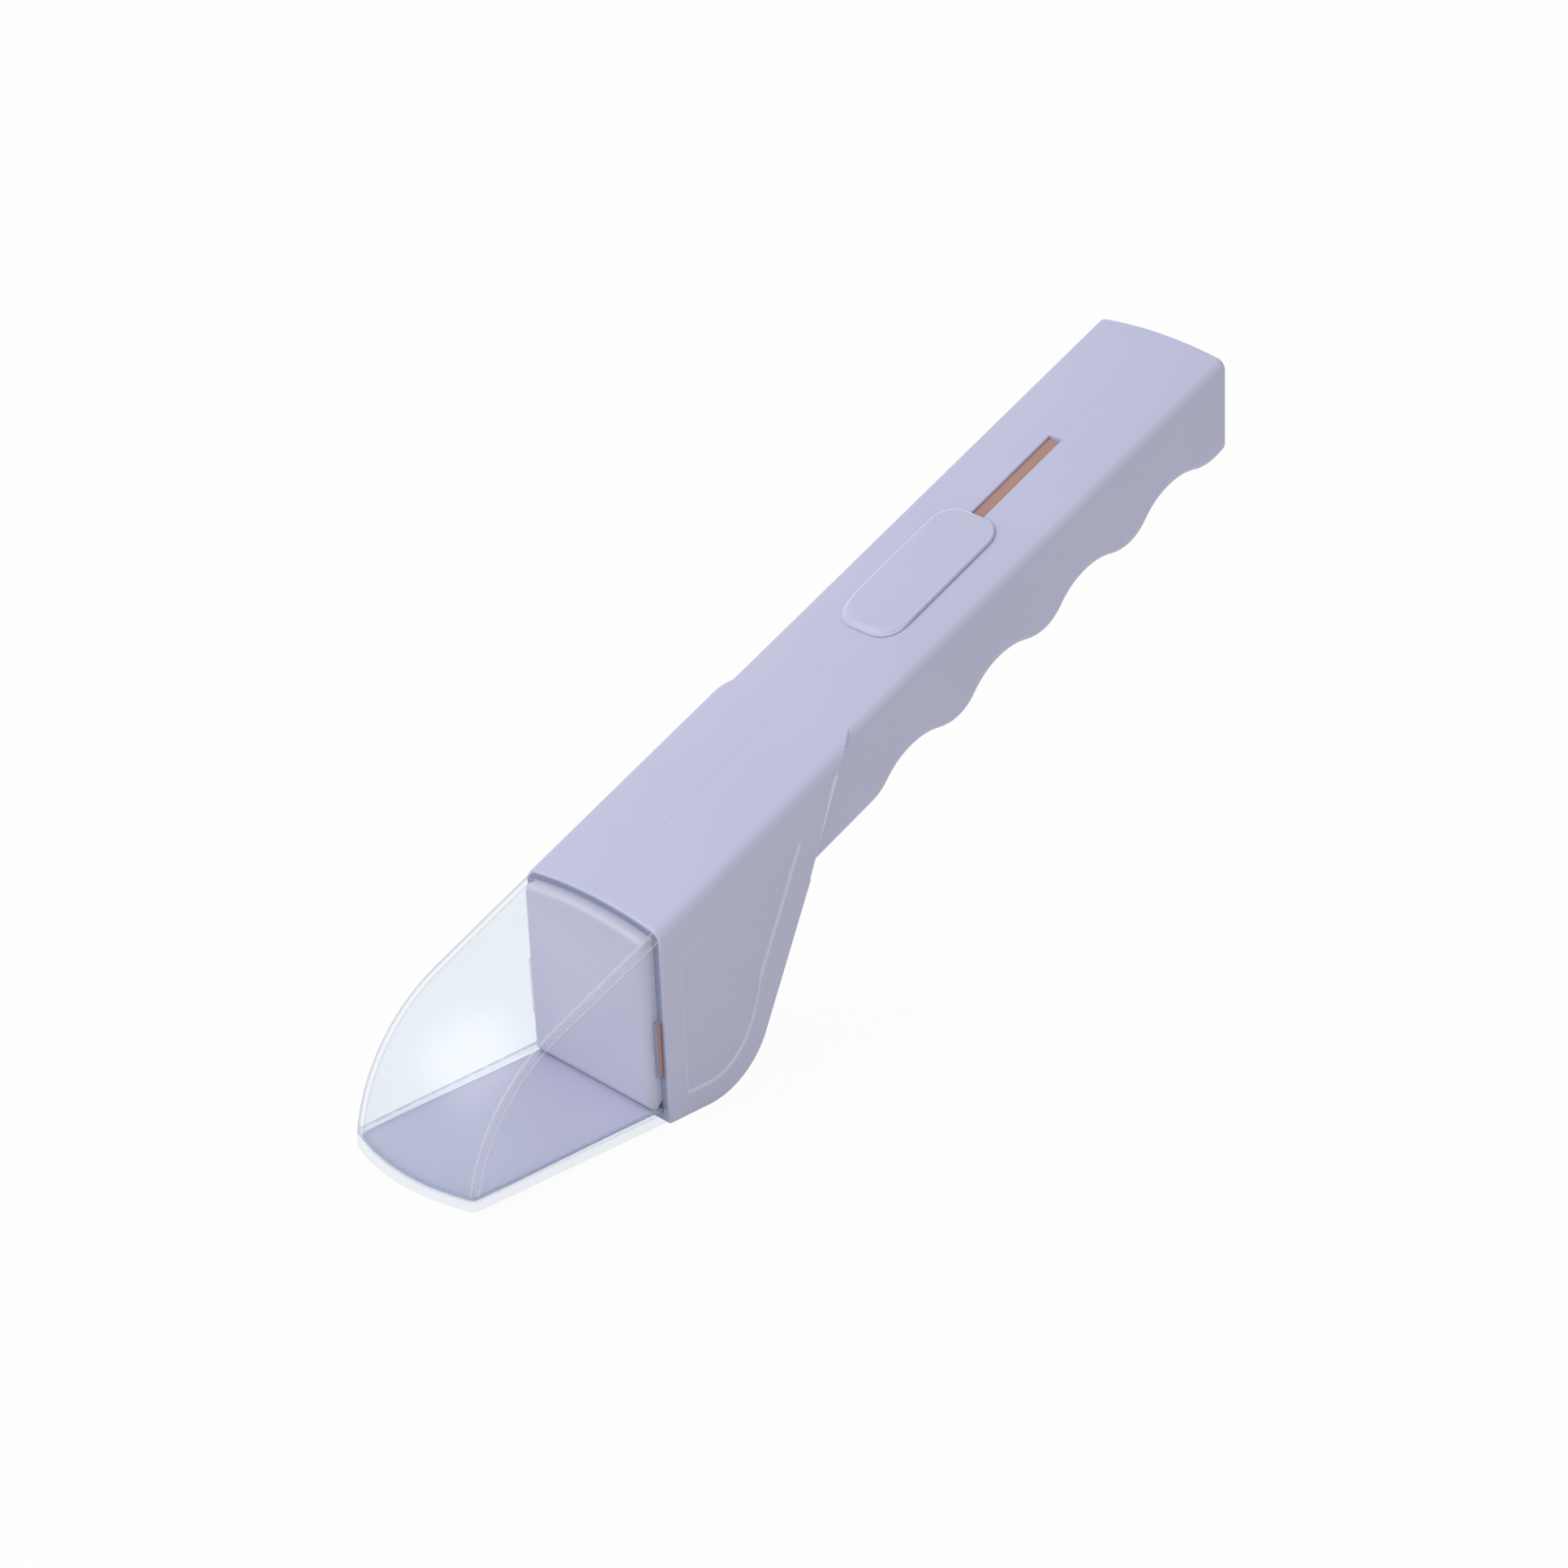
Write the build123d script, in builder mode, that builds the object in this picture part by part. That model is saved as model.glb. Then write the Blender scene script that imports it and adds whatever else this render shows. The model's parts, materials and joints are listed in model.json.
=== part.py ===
from build123d import *
import os
from math import cos, radians, sin, sqrt, tan

# Hand-held insect catcher, in millimetres: a clear chamber with an open mouth underneath, a sliding
# floor that closes the mouth, and a two-shell grip with a thumb button that pulls the floor back.
# X runs from the chamber's tip to the grip, Y to the left, Z up from the plane of the mouth's rim.

# Outside form
body_width = 38.6
grip_width = 34.8
rise_angle = 24.3
crown = 1.6
shoulder_radius = 3.0
wall = 2.0

# Front body, between the chamber joint and the grip
joint_foot = 49.6
joint_lean = 3.8
joint_height = 43.0
back_foot = 72.4
back_angle = 68.0
belly_radius = 17.0
belly_edge_radius = 2.0
panel_depth = 0.5
panel_front = 6.5
panel_top = 8.8
panel_back = 6.3
panel_floor = 4.9

# Grip, measured along and down from the top line where it leaves the chamber joint
grip_start = 30.0
grip_depth = 19.6
groove_count = 4
groove_pitch = 27.8
groove_first = 71.5
groove_floor = 15.8
groove_radius = 16.0
ridge_radius = 10.9
butt_length = 24.5
butt_depth = 19.9
butt_radius = 3.0
end_lean = 4.4
grip_edge_radius = 2.5

# Clear chamber
chamber_width = 37.0
chamber_wall = 1.6
chamber_bevel = 1.4
nose_radius = 36.0
nose_bow = 3.5
rim_height = 4.0
rim_corner_radius = 2.4
ledge_width = 2.4
lip_width = 0.8
notch_floor = 11.0
notch_height = 12.7
notch_depth = 1.7

# Flexible floor and its pull strip
sheet = 0.8
sheet_clearance = 0.2
blade_gap = 0.7
strip_width = 13.0
strip_bend_radius = 12.0
strip_end_gap = 0.3
guide_rib = 1.2
guide_reach = 2.6

# Bulkhead that closes the front body
plug_fit = 0.05
plug_spigot = 3.0
plug_depth = 6.0
plug_wall = 2.0
stop_rib = 1.4
stop_reach = 1.8
catch_clearance = 0.2
catch_proud = 1.2

# Thumb slider
stroke = 46.0
slot_width = 3.4
slot_end_clearance = 0.3
neck_place = 94.0
neck_length = 6.0
neck_clearance = 0.2
neck_fit = 0.05
button_length = 37.0
button_width = 16.4
button_thickness = 1.5
button_offset = 5.5
button_corner_radius = 5.5
button_bevel = 0.8
running_clearance = 0.3
carriage_length = 26.0
carriage_clearance = 0.3
carriage_height = 1.2

# Slide track under the slot, and the ribs and pegs of the two shells
track_wall = 1.2
track_lead = 5.4
track_back = 172.0
track_height = 3.4
cradle_rib = 1.4
cradle_places = (66.0, 92.0, 120.0, 148.0, 168.0)
boss_radius = 3.0
peg_radius = 1.5
peg_length = 3.0
peg_clearance = 0.1
grip_boss_drop = 10.9
body_boss_place = (60.0, 38.0)

# Directions and planes
slope = radians(rise_angle)
lean = radians(joint_lean)
back = radians(back_angle)
along = Vector(cos(slope), 0, sin(slope))
above = Vector(-sin(slope), 0, cos(slope))
joint_top = Vector(joint_foot - joint_height * tan(lean), 0, joint_height)
side_plane = Plane(origin=joint_top, x_dir=along, z_dir=(0, -1, 0))
top_plane = Plane(origin=joint_top, x_dir=along, z_dir=above)
joint_plane = Plane(origin=(joint_foot, 0, 0), x_dir=(0, 1, 0), z_dir=(cos(lean), 0, sin(lean)))
sky = 2 * joint_height

# Places that follow from the sizes above
groove_last = groove_first + (groove_count - 1) * groove_pitch
grip_end = groove_last + butt_length
groove_axis = groove_floor + groove_radius
crown_radius = ((body_width / 2) ** 2 + crown**2) / (2 * crown)
nose_x = nose_radius
nose_z = joint_height - (nose_radius + (joint_top.X - nose_x) * sin(slope)) / cos(slope)
nose_u = (nose_x - joint_top.X) * cos(slope) + (nose_z - joint_height) * sin(slope)
sheet_offset = wall + sheet_clearance + sheet / 2
ledge_top = sheet_offset - sheet / 2 - sheet_clearance
lip_floor = sheet_offset + sheet / 2 + sheet_clearance
carriage_top = crown - wall - carriage_clearance
carriage_floor = carriage_top - carriage_height
strip_drop = carriage_floor - sheet / 2
track_floor = carriage_floor - sheet - running_clearance
track_half = strip_width / 2 + running_clearance + track_wall
track_top = track_floor - track_wall + track_height
slot_front = neck_place - neck_length / 2 - slot_end_clearance
slot_back = neck_place + stroke + neck_length / 2 + slot_end_clearance


def across(place):
    """Plane square to the top line, with X to the left side and Y away from the top line."""
    return Plane(origin=joint_top + along * place, x_dir=(0, 1, 0), z_dir=along)


def crown_drop(half):
    """How far the crowned top falls from its middle at a distance from the middle."""
    return crown_radius - sqrt(crown_radius**2 - half**2)


def crowned_section(plane, width, edge, rise, depth, inset, soften, size):
    """Section with straight sides and a crowned top, drawn in by the inset, with softened outer shoulders."""
    arc_radius = ((width / 2) ** 2 + rise**2) / (2 * rise)
    half = width / 2 - inset
    crest = edge + rise - inset
    shoulder = crest - arc_radius + inset + sqrt((arc_radius - inset) ** 2 - half**2)
    with BuildSketch(plane) as section:
        with BuildLine():
            ThreePointArc((-half, shoulder), (0, crest), (half, shoulder))
            Polyline((half, shoulder), (half, -depth), (-half, -depth), (-half, shoulder))
        make_face()
        if inset <= 0:
            soften(section.vertices().group_by(Axis.Y)[-1], size - inset)
    return section.sketch


def crown_prism(width, inset, mode):
    """Solid under the crowned top line, long enough for the whole catcher."""
    half = width / 2
    drop = crown_drop(half)
    plane = across(-sky)
    section = crowned_section(plane, width, crown - drop, drop, 3 * sky, inset, fillet, shoulder_radius)
    extrude(section, amount=2 * sky + grip_end, mode=mode)


def back_line(height, inset):
    """X of the front body's back wall at a height, drawn in by the inset."""
    return back_foot - inset / sin(back) + height / tan(back)


def front_form(inset, reach=0.0):
    """Front body drawn in by the inset, and lengthened past the chamber joint by the reach."""
    with BuildPart() as form:
        with BuildSketch(Plane.XZ) as side:
            with BuildLine():
                Polyline(
                    (joint_foot - inset * tan(lean) - reach, inset),
                    (back_line(inset, inset), inset),
                    (back_line(sky, inset), sky),
                    (joint_foot - sky * tan(lean) - reach, sky),
                    close=True,
                )
            make_face()
            fillet(side.vertices().group_by(Axis.Y)[0].sort_by(Axis.X)[-1], belly_radius - inset)
        extrude(amount=body_width / 2 - inset, both=True)
        if not inset:
            rims = form.edges().filter_by(lambda e: abs(abs(e.center().Y) - body_width / 2) < 0.01)
            rims = rims.filter_by(lambda e: e.center().Z < sky - 0.01)
            fillet(rims.filter_by(lambda e: e.center().X > joint_foot), belly_edge_radius)
        crown_prism(body_width, inset, Mode.INTERSECT)
    return form.part


def grip_form(inset):
    """Grip drawn in by the inset: a straight top, finger grooves below and an end that leans a little."""
    lean_out = tan(slope - radians(end_lean))
    with BuildPart() as form:
        with BuildSketch(side_plane) as side:
            with BuildLine():
                Polyline(
                    (grip_start, grip_depth),
                    (grip_end + grip_depth * lean_out, grip_depth),
                    (grip_end - butt_depth * lean_out, -butt_depth),
                    (groove_last, -butt_depth),
                    (groove_last, -groove_axis),
                    (groove_first, -groove_axis),
                    (groove_first, -grip_depth),
                    (grip_start, -grip_depth),
                    close=True,
                )
            make_face()
            places = [groove_first + number * groove_pitch for number in range(groove_count)]
            with Locations([(place, -groove_axis) for place in places]):
                Circle(groove_radius, mode=Mode.SUBTRACT)
            ridges = side.vertices().filter_by(lambda v: groove_first < v.X < groove_last)
            neck = side.vertices().filter_by(lambda v: grip_start + 1 < v.X < groove_first and v.Y < 0)
            butt = side.vertices().filter_by(lambda v: abs(v.Y + butt_depth) < 0.01).sort_by(Axis.X)
            fillet(butt[-1], butt_radius)
            fillet(ridges + neck + butt[:1], ridge_radius)
            if inset:
                offset(amount=-inset, kind=Kind.INTERSECTION)
        extrude(amount=grip_width / 2 - inset, both=True)
        if not inset:
            rims = form.edges().filter_by(lambda e: abs(abs(e.center().Y) - grip_width / 2) < 0.01)
            heights = {e: side_plane.to_local_coords(e.center()) for e in rims}
            rims = rims.filter_by(lambda e: heights[e].Y < grip_depth - 0.01 and heights[e].X > grip_start + 0.01)
            fillet(rims, grip_edge_radius)
        crown_prism(grip_width, inset, Mode.INTERSECT)
    return form.part


def hood_form(inset):
    """Chamber drawn in by the inset: a crowned roof that runs on round the bowed nose."""
    cap_depth = nose_radius / 3
    core_depth = cap_depth / 3 + inset
    past = cap_depth
    past_rise = crown - (nose_bow - crown) * past / -nose_u
    with BuildPart() as form:
        tip_plane = Plane(origin=(nose_x - nose_radius, 0, nose_z), x_dir=(0, 1, 0), z_dir=(0, 0, 1))
        stations = ((across(past), past_rise), (across(nose_u), nose_bow), (tip_plane, nose_bow))
        rear, brow, tip = [
            crowned_section(plane, chamber_width, 0, rise, cap_depth, inset, chamfer, chamber_bevel)
            for plane, rise in stations
        ]
        loft([rear, brow], ruled=True)
        revolve(brow, axis=Axis((nose_x, 0, nose_z), (0, -1, 0)), revolution_arc=90 - rise_angle)
        extrude(tip, amount=-joint_height)
        with BuildSketch(Plane.XZ):
            roof_end = joint_top + along * past - above * core_depth
            with BuildLine():
                nose = CenterArc((nose_x, nose_z), nose_radius - core_depth, 90 + rise_angle, 90 - rise_angle)
                Polyline(
                    nose @ 1,
                    ((nose @ 1).X, nose_z - joint_height),
                    (joint_foot + past, nose_z - joint_height),
                    (joint_foot + past, roof_end.Z),
                    (roof_end.X, roof_end.Z),
                    nose @ 0,
                )
            make_face()
        extrude(amount=chamber_width / 2 - inset, both=True)
    return form.part


def rim_outline(height, inset):
    """Plan of the mouth's rim at a height, drawn in by the inset, with a bowed front."""
    half = chamber_width / 2
    rear = joint_foot + rim_height + inset
    with BuildSketch(Plane.XY.offset(height)) as plan:
        with BuildLine():
            ThreePointArc((0, -half), (-nose_bow, 0), (0, half))
            Polyline((0, half), (rear, half), (rear, -half), (0, -half))
        make_face()
        fillet(plan.vertices().group_by(Axis.X)[0], rim_corner_radius)
        if inset:
            offset(amount=-inset, kind=Kind.INTERSECTION)
    return plan.sketch


def sheet_corners(shift):
    """Corners of the sheet's way along the floor, up the back wall and into the grip."""
    inset = sheet_offset + shift
    belly = (back_line(inset, inset), inset)
    level = joint_top + above * strip_drop
    turn = (back_line(level.Z, inset) - level.X) / (cos(slope) - sin(slope) / tan(back))
    neck = level + along * turn
    return belly, (neck.X, neck.Z)


strip_belly, strip_neck = sheet_corners(0)
neck_run = (Vector(strip_neck[0], 0, strip_neck[1]) - joint_top).dot(along)
track_front = neck_run + strip_bend_radius * tan((back - slope) / 2) + track_lead

front_outer = front_form(0)
front_middle = front_form(wall / 2)
front_inner = front_form(wall, reach=plug_spigot + running_clearance)
front_stop = front_form(wall + stop_reach, reach=wall)
plug_form = front_form(wall + plug_fit, reach=plug_depth)
plug_hollow = front_form(wall + plug_fit + plug_wall, reach=plug_depth)
grip_outer = grip_form(0)
grip_middle = grip_form(wall / 2)
grip_inner = grip_form(wall)
hood_outer = hood_form(0)
hood_inner = hood_form(chamber_wall)

# Ribs that cradle the slide track
with BuildPart() as cradles:
    for place in cradle_places:
        with BuildSketch(across(place)):
            with Locations((0, track_top)):
                Rectangle(grip_width, 2 * grip_depth, align=(Align.CENTER, Align.MAX))
                Rectangle(2 * track_half, track_height, align=(Align.CENTER, Align.MAX), mode=Mode.SUBTRACT)
        extrude(amount=cradle_rib / 2, both=True)
    add(grip_middle, mode=Mode.INTERSECT)

# Ribs that keep the sheet's edges against the floor and the back wall
guide_shift = sheet / 2 + sheet_clearance + guide_rib / 2
guide_belly, guide_neck = sheet_corners(guide_shift)
guide_start = (joint_foot + plug_depth - plug_spigot + stop_rib, guide_belly[1])
guide_end = (back_line(joint_height, sheet_offset + guide_shift), joint_height)
with BuildPart() as guides:
    with BuildSketch(Plane.XZ):
        with BuildLine():
            FilletPolyline(
                guide_start, guide_belly, guide_end, radius=belly_radius - sheet_offset - guide_shift
            )
        trace(line_width=guide_rib)
    extrude(amount=(body_width - wall) / 2, both=True)
    with BuildSketch(Plane.XZ):
        Rectangle(2 * grip_end, 2 * sky)
    extrude(amount=body_width / 2 - wall - guide_reach, both=True, mode=Mode.SUBTRACT)

# Rib that stops the bulkhead
with BuildPart() as stop:
    add(front_middle)
    add(front_stop, mode=Mode.SUBTRACT)
    split(bisect_by=joint_plane.offset(plug_depth - plug_spigot), keep=Keep.TOP)
    split(bisect_by=joint_plane.offset(plug_depth - plug_spigot + stop_rib), keep=Keep.BOTTOM)
    split(bisect_by=Plane.XY.offset(belly_radius / 2), keep=Keep.TOP)

# Bosses that meet at the seam between the shells
ridge_places = [(groove_first + (number + 0.5) * groove_pitch) for number in range(groove_count - 1)]
boss_places = [(place, -grip_boss_drop) for place in ridge_places]
with BuildPart() as grip_bosses:
    with BuildSketch(side_plane):
        with Locations(boss_places):
            Circle(boss_radius)
    extrude(amount=grip_width, both=True)
    add(grip_middle, mode=Mode.INTERSECT)
with BuildPart() as body_boss:
    with BuildSketch(Plane.XZ):
        with Locations(body_boss_place):
            Circle(boss_radius)
    extrude(amount=(body_width - wall) / 2, both=True)

# Shallow panel on each flank of the front body
with BuildPart() as panels:
    with BuildSketch(Plane.XZ) as panel:
        with BuildLine():
            Polyline(
                (joint_foot + panel_front - panel_floor * tan(lean), panel_floor),
                (back_line(panel_floor, panel_back), panel_floor),
                (back_line(sky, panel_back), sky),
                (joint_foot + panel_front - sky * tan(lean), sky),
                close=True,
            )
        make_face()
        fillet(panel.vertices().group_by(Axis.Y)[0].sort_by(Axis.X)[-1], belly_radius - panel_floor)
        panel_line = joint_top - above * panel_top
        with Locations((panel_line.X, panel_line.Z)):
            Rectangle(
                4 * sky, 2 * sky, rotation=rise_angle, align=(Align.CENTER, Align.MIN), mode=Mode.SUBTRACT
            )
    extrude(amount=body_width, both=True)
    with BuildSketch(Plane.XZ):
        Rectangle(2 * grip_end, 2 * sky)
    extrude(amount=body_width / 2 - panel_depth, both=True, mode=Mode.SUBTRACT)

# Whole housing before it is parted into two shells
with BuildPart() as shell:
    add(front_outer)
    add(grip_outer)
    add(panels.part, mode=Mode.SUBTRACT)
    add(front_inner, mode=Mode.SUBTRACT)
    add(grip_inner, mode=Mode.SUBTRACT)
    add([cradles.part, guides.part, stop.part, grip_bosses.part, body_boss.part])
    with BuildSketch(top_plane.offset(crown + wall)):
        with Locations(((slot_front + slot_back) / 2, 0)):
            Rectangle(slot_back - slot_front, slot_width)
    extrude(amount=-(crown + 2 * wall), mode=Mode.SUBTRACT)

# Left shell, with the pegs
with BuildPart() as housing_left:
    add(shell.part)
    split(bisect_by=Plane.XZ, keep=Keep.BOTTOM)
    with BuildSketch(side_plane):
        with Locations(boss_places):
            Circle(peg_radius)
    extrude(amount=peg_length)
    with BuildSketch(Plane.XZ):
        with Locations(body_boss_place):
            Circle(peg_radius)
    extrude(amount=peg_length)

# Right shell, with the sockets
socket_depth = peg_length + running_clearance
with BuildPart() as housing_right:
    add(shell.part)
    split(bisect_by=Plane.XZ, keep=Keep.TOP)
    with BuildSketch(side_plane):
        with Locations(boss_places):
            Circle(peg_radius + peg_clearance)
    extrude(amount=socket_depth, mode=Mode.SUBTRACT)
    with BuildSketch(Plane.XZ):
        with Locations(body_boss_place):
            Circle(peg_radius + peg_clearance)
    extrude(amount=socket_depth, mode=Mode.SUBTRACT)

# Bulkhead: a shallow cup whose front stands in the chamber
with BuildPart() as plug_pocket:
    add(plug_hollow)
    split(bisect_by=joint_plane.offset(plug_wall - plug_spigot), keep=Keep.TOP)
with BuildPart() as front_plug:
    add(plug_form)
    split(bisect_by=joint_plane.offset(-plug_spigot), keep=Keep.TOP)
    add(plug_pocket.part, mode=Mode.SUBTRACT)
    split(bisect_by=joint_plane.offset(plug_depth - plug_spigot), keep=Keep.BOTTOM)
    split(bisect_by=Plane.XY.offset(lip_floor), keep=Keep.TOP)

# Clear chamber: the hood, the rim with the floor's groove, and the notches for the catches
notch_middle = notch_floor + notch_height / 2
with BuildPart() as capture_chamber:
    add(hood_outer)
    split(bisect_by=Plane.XY.offset(rim_height), keep=Keep.TOP)
    add(hood_inner, mode=Mode.SUBTRACT)
    extrude(rim_outline(0, 0), amount=rim_height)
    extrude(rim_outline(0, chamber_wall + ledge_width), amount=lip_floor, mode=Mode.SUBTRACT)
    extrude(rim_outline(ledge_top, chamber_wall), amount=lip_floor - ledge_top, mode=Mode.SUBTRACT)
    lip_opening = rim_outline(lip_floor, chamber_wall + lip_width)
    extrude(lip_opening, amount=rim_height - lip_floor, mode=Mode.SUBTRACT)
    split(bisect_by=joint_plane, keep=Keep.BOTTOM)
    add(front_inner, mode=Mode.SUBTRACT)
    with BuildSketch(joint_plane):
        with Locations((0, notch_middle)):
            Rectangle(2 * body_width, notch_height)
    extrude(amount=-notch_depth, mode=Mode.SUBTRACT)

# Catches on the bulkhead's flanks that hold the chamber by its notches
catch_foot = body_width / 2 - wall - plug_fit
catch_places = [(side * (catch_foot + catch_proud / 2), notch_middle) for side in (-1, 1)]
with BuildPart() as chamber_catches:
    with BuildSketch(joint_plane.offset(catch_clearance - notch_depth)):
        with Locations(catch_places):
            Rectangle(catch_proud, notch_height - 2 * catch_clearance)
    extrude(amount=notch_depth - 2 * catch_clearance)

# Floor of the chamber, the front end of the flexible sheet
with BuildPart() as door_blade:
    extrude(rim_outline(sheet_offset - sheet / 2, chamber_wall + blade_gap), amount=sheet)
    split(bisect_by=Plane.YZ.offset(joint_foot), keep=Keep.BOTTOM)

# Bend of the sheet, which runs up the back wall and turns into the grip
strip_level = joint_top + above * strip_drop + along * (track_front - strip_end_gap)
with BuildPart() as strip_bend:
    with BuildSketch(Plane.XZ):
        with BuildLine():
            FilletPolyline(
                (joint_foot + strip_end_gap, sheet_offset),
                strip_belly,
                strip_neck,
                (strip_level.X, strip_level.Z),
                radius=(belly_radius - sheet_offset, strip_bend_radius),
            )
        trace(line_width=sheet)
    extrude(amount=strip_width / 2, both=True)

# Pull end of the sheet, under the carriage
carriage_middle = neck_place + button_offset
strip_back = carriage_middle + carriage_length / 2
with BuildPart() as strip_pull:
    with BuildSketch(top_plane.offset(carriage_floor)):
        with Locations(((track_front + strip_back) / 2, 0)):
            Rectangle(strip_back - track_front, strip_width)
    extrude(amount=-sheet)

# Track that the carriage runs in
with BuildPart() as slide_track:
    with BuildSketch(across(track_front)):
        with Locations((0, track_top)):
            Rectangle(2 * track_half, track_height, align=(Align.CENTER, Align.MAX))
            Rectangle(
                2 * (track_half - track_wall),
                track_height - track_wall,
                align=(Align.CENTER, Align.MAX),
                mode=Mode.SUBTRACT,
            )
    extrude(amount=track_back - track_front)

# Carriage under the slot
neck_width = slot_width - 2 * neck_clearance
with BuildPart() as slider_carriage:
    with BuildSketch(top_plane.offset(carriage_floor)):
        with Locations((carriage_middle, 0)):
            Rectangle(carriage_length, strip_width)
        with Locations((neck_place, 0)):
            Rectangle(neck_length + 2 * neck_fit, neck_width + 2 * neck_fit, mode=Mode.SUBTRACT)
    extrude(amount=carriage_height)

# Thumb button, a plate that follows the crown underneath, with a neck through the slot
with BuildPart() as thumb_button:
    with BuildSketch(top_plane):
        with Locations((carriage_middle, 0)):
            RectangleRounded(button_length, button_width, button_corner_radius)
    extrude(amount=crown + running_clearance + button_thickness)
    plate_top = thumb_button.faces().sort_by(Axis((0, 0, 0), tuple(above)))[-1]
    chamfer(plate_top.edges(), button_bevel)
    crown_prism(body_width, -running_clearance, Mode.SUBTRACT)
    with BuildSketch(top_plane.offset(carriage_floor)):
        with Locations((neck_place, 0)):
            Rectangle(neck_length, neck_width)
    extrude(amount=crown + running_clearance + button_thickness / 2 - carriage_floor)

pieces = {
    "housing_left": housing_left,
    "housing_right": housing_right,
    "front_plug": front_plug,
    "capture_chamber": capture_chamber,
    "chamber_catches": chamber_catches,
    "door_blade": door_blade,
    "strip_bend": strip_bend,
    "strip_pull": strip_pull,
    "slide_track": slide_track,
    "slider_carriage": slider_carriage,
    "thumb_button": thumb_button,
}
os.makedirs("parts", exist_ok=True)
for name, piece in pieces.items():
    piece.part.label = name
    export_step(piece.part, f"parts/{name}.step")
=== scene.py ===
"""Looks of a hand-held insect catcher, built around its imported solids.

A clear hood stands over a sliding floor, a lavender housing of two shells carries it, and a thumb pad on
top of the grip works the floor. Each new piece is a surface worked out with numpy in the frame of the
solids. Sizes are in millimetres until a mesh is made.
"""

import json
import logging
from dataclasses import dataclass, fields
from enum import Enum
from typing import Any

import bmesh
import bpy
import numpy as np
from mathutils import Matrix, Vector

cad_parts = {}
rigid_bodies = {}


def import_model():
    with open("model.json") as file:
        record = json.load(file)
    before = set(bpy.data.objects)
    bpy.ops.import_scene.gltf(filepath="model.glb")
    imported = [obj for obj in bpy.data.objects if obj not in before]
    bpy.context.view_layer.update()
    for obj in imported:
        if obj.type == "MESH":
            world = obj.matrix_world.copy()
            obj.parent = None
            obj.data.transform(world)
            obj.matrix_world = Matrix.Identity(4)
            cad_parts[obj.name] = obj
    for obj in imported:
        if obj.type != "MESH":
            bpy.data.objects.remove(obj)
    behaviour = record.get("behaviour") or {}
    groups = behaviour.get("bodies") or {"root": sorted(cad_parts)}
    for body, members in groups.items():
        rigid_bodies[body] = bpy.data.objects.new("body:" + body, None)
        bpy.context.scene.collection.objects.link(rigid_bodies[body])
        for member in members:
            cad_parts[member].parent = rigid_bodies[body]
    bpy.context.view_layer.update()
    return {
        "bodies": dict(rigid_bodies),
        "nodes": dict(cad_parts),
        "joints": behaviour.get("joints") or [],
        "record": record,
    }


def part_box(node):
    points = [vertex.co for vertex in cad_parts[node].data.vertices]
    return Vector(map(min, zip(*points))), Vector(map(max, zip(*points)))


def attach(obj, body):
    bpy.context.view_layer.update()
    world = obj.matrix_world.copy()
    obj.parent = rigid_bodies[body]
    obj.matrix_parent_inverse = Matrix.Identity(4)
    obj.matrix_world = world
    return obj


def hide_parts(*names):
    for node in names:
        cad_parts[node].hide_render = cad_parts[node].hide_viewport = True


MM = 0.001
WELD = 2e-6
WHITE = (1.0, 1.0, 1.0, 1.0)
NOISE_MEAN = 0.5
MIRROR = (1.0, -1.0, 1.0)
EDGE_STEPS = 6
BEND_STEPS = 8
LOOP_TURN = 9
LOOP_FRONT = 6
LOOP_SIDE = 14
Array = np.ndarray
Values = Array | float
Triple = tuple[float, float, float]
log = logging.getLogger("catcher")


class Slot(Enum):
    """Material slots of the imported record."""

    BODY = "body"
    CLEAR = "clear"
    INNER = "inner"
    SHEET = "sheet"


class Carrier(Enum):
    """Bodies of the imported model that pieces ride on."""

    HOUSING = "housing"
    SLIDER = "slider"
    DOOR = "door"


class Side(Enum):
    """Sides of the housing, as the sign of Y."""

    LEFT = 1.0
    RIGHT = -1.0


def even(count: int) -> Array:
    """Even shares from 0 to 1, with both ends."""
    return np.linspace(0.0, 1.0, count)


def quarter(count: int) -> Array:
    """Even angles of a quarter turn, with both ends."""
    return np.linspace(0.0, np.pi / 2, count)


def hump(share: Array) -> Array:
    """Parabola that is 0 at the shares 0 and 1, and 1 half-way."""
    return 4.0 * share * (1.0 - share)


def ease(value: Array) -> Array:
    """Smooth step from 0 to 1: three squares less two cubes of the clamped value."""
    t = np.clip(value, 0.0, 1.0)
    return t * t * (3.0 - 2.0 * t)


def lerp(first: Values, last: Values, share: Values) -> Values:
    """Points on the straight run between two points, or values between two values, at a share of it."""
    return first + (last - first) * share


def unit(vectors: Array) -> Array:
    """Vectors of length one along the last axis."""
    return vectors / np.linalg.norm(vectors, axis=-1, keepdims=True)


def linear(colour: Triple) -> tuple[float, float, float, float]:
    """Linear colour with alpha 1 from display values of 0 to 255.

    Args:
        colour: Red, green and blue as a display shows them.

    Returns:
        Red, green, blue and alpha.
    """
    shown = np.array(colour) / 255.0
    low = shown / 12.92
    high = ((shown + 0.055) / 1.055) ** 2.4
    return (*np.where(shown <= 0.04045, low, high).tolist(), 1.0)


@dataclass(frozen=True)
class Run:
    """Straight stretch of an outline in a plane."""

    start: tuple[float, float]
    end: tuple[float, float]

    @property
    def length(self) -> float:
        """Length of the stretch."""
        return float(np.hypot(self.end[0] - self.start[0], self.end[1] - self.start[1]))

    def at(self, distance: Array) -> tuple[Array, Array]:
        """Points at distances from the start: the start, moved by the distance along the heading.

        Args:
            distance: Distances from the start.

        Returns:
            Points and unit normals on the right-hand side, each of shape (n, 2).
        """
        heading = unit(np.subtract(self.end, self.start))
        points = np.array(self.start) + distance[:, None] * heading
        normals = np.broadcast_to((heading[1], -heading[0]), points.shape)
        return points, normals


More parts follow.
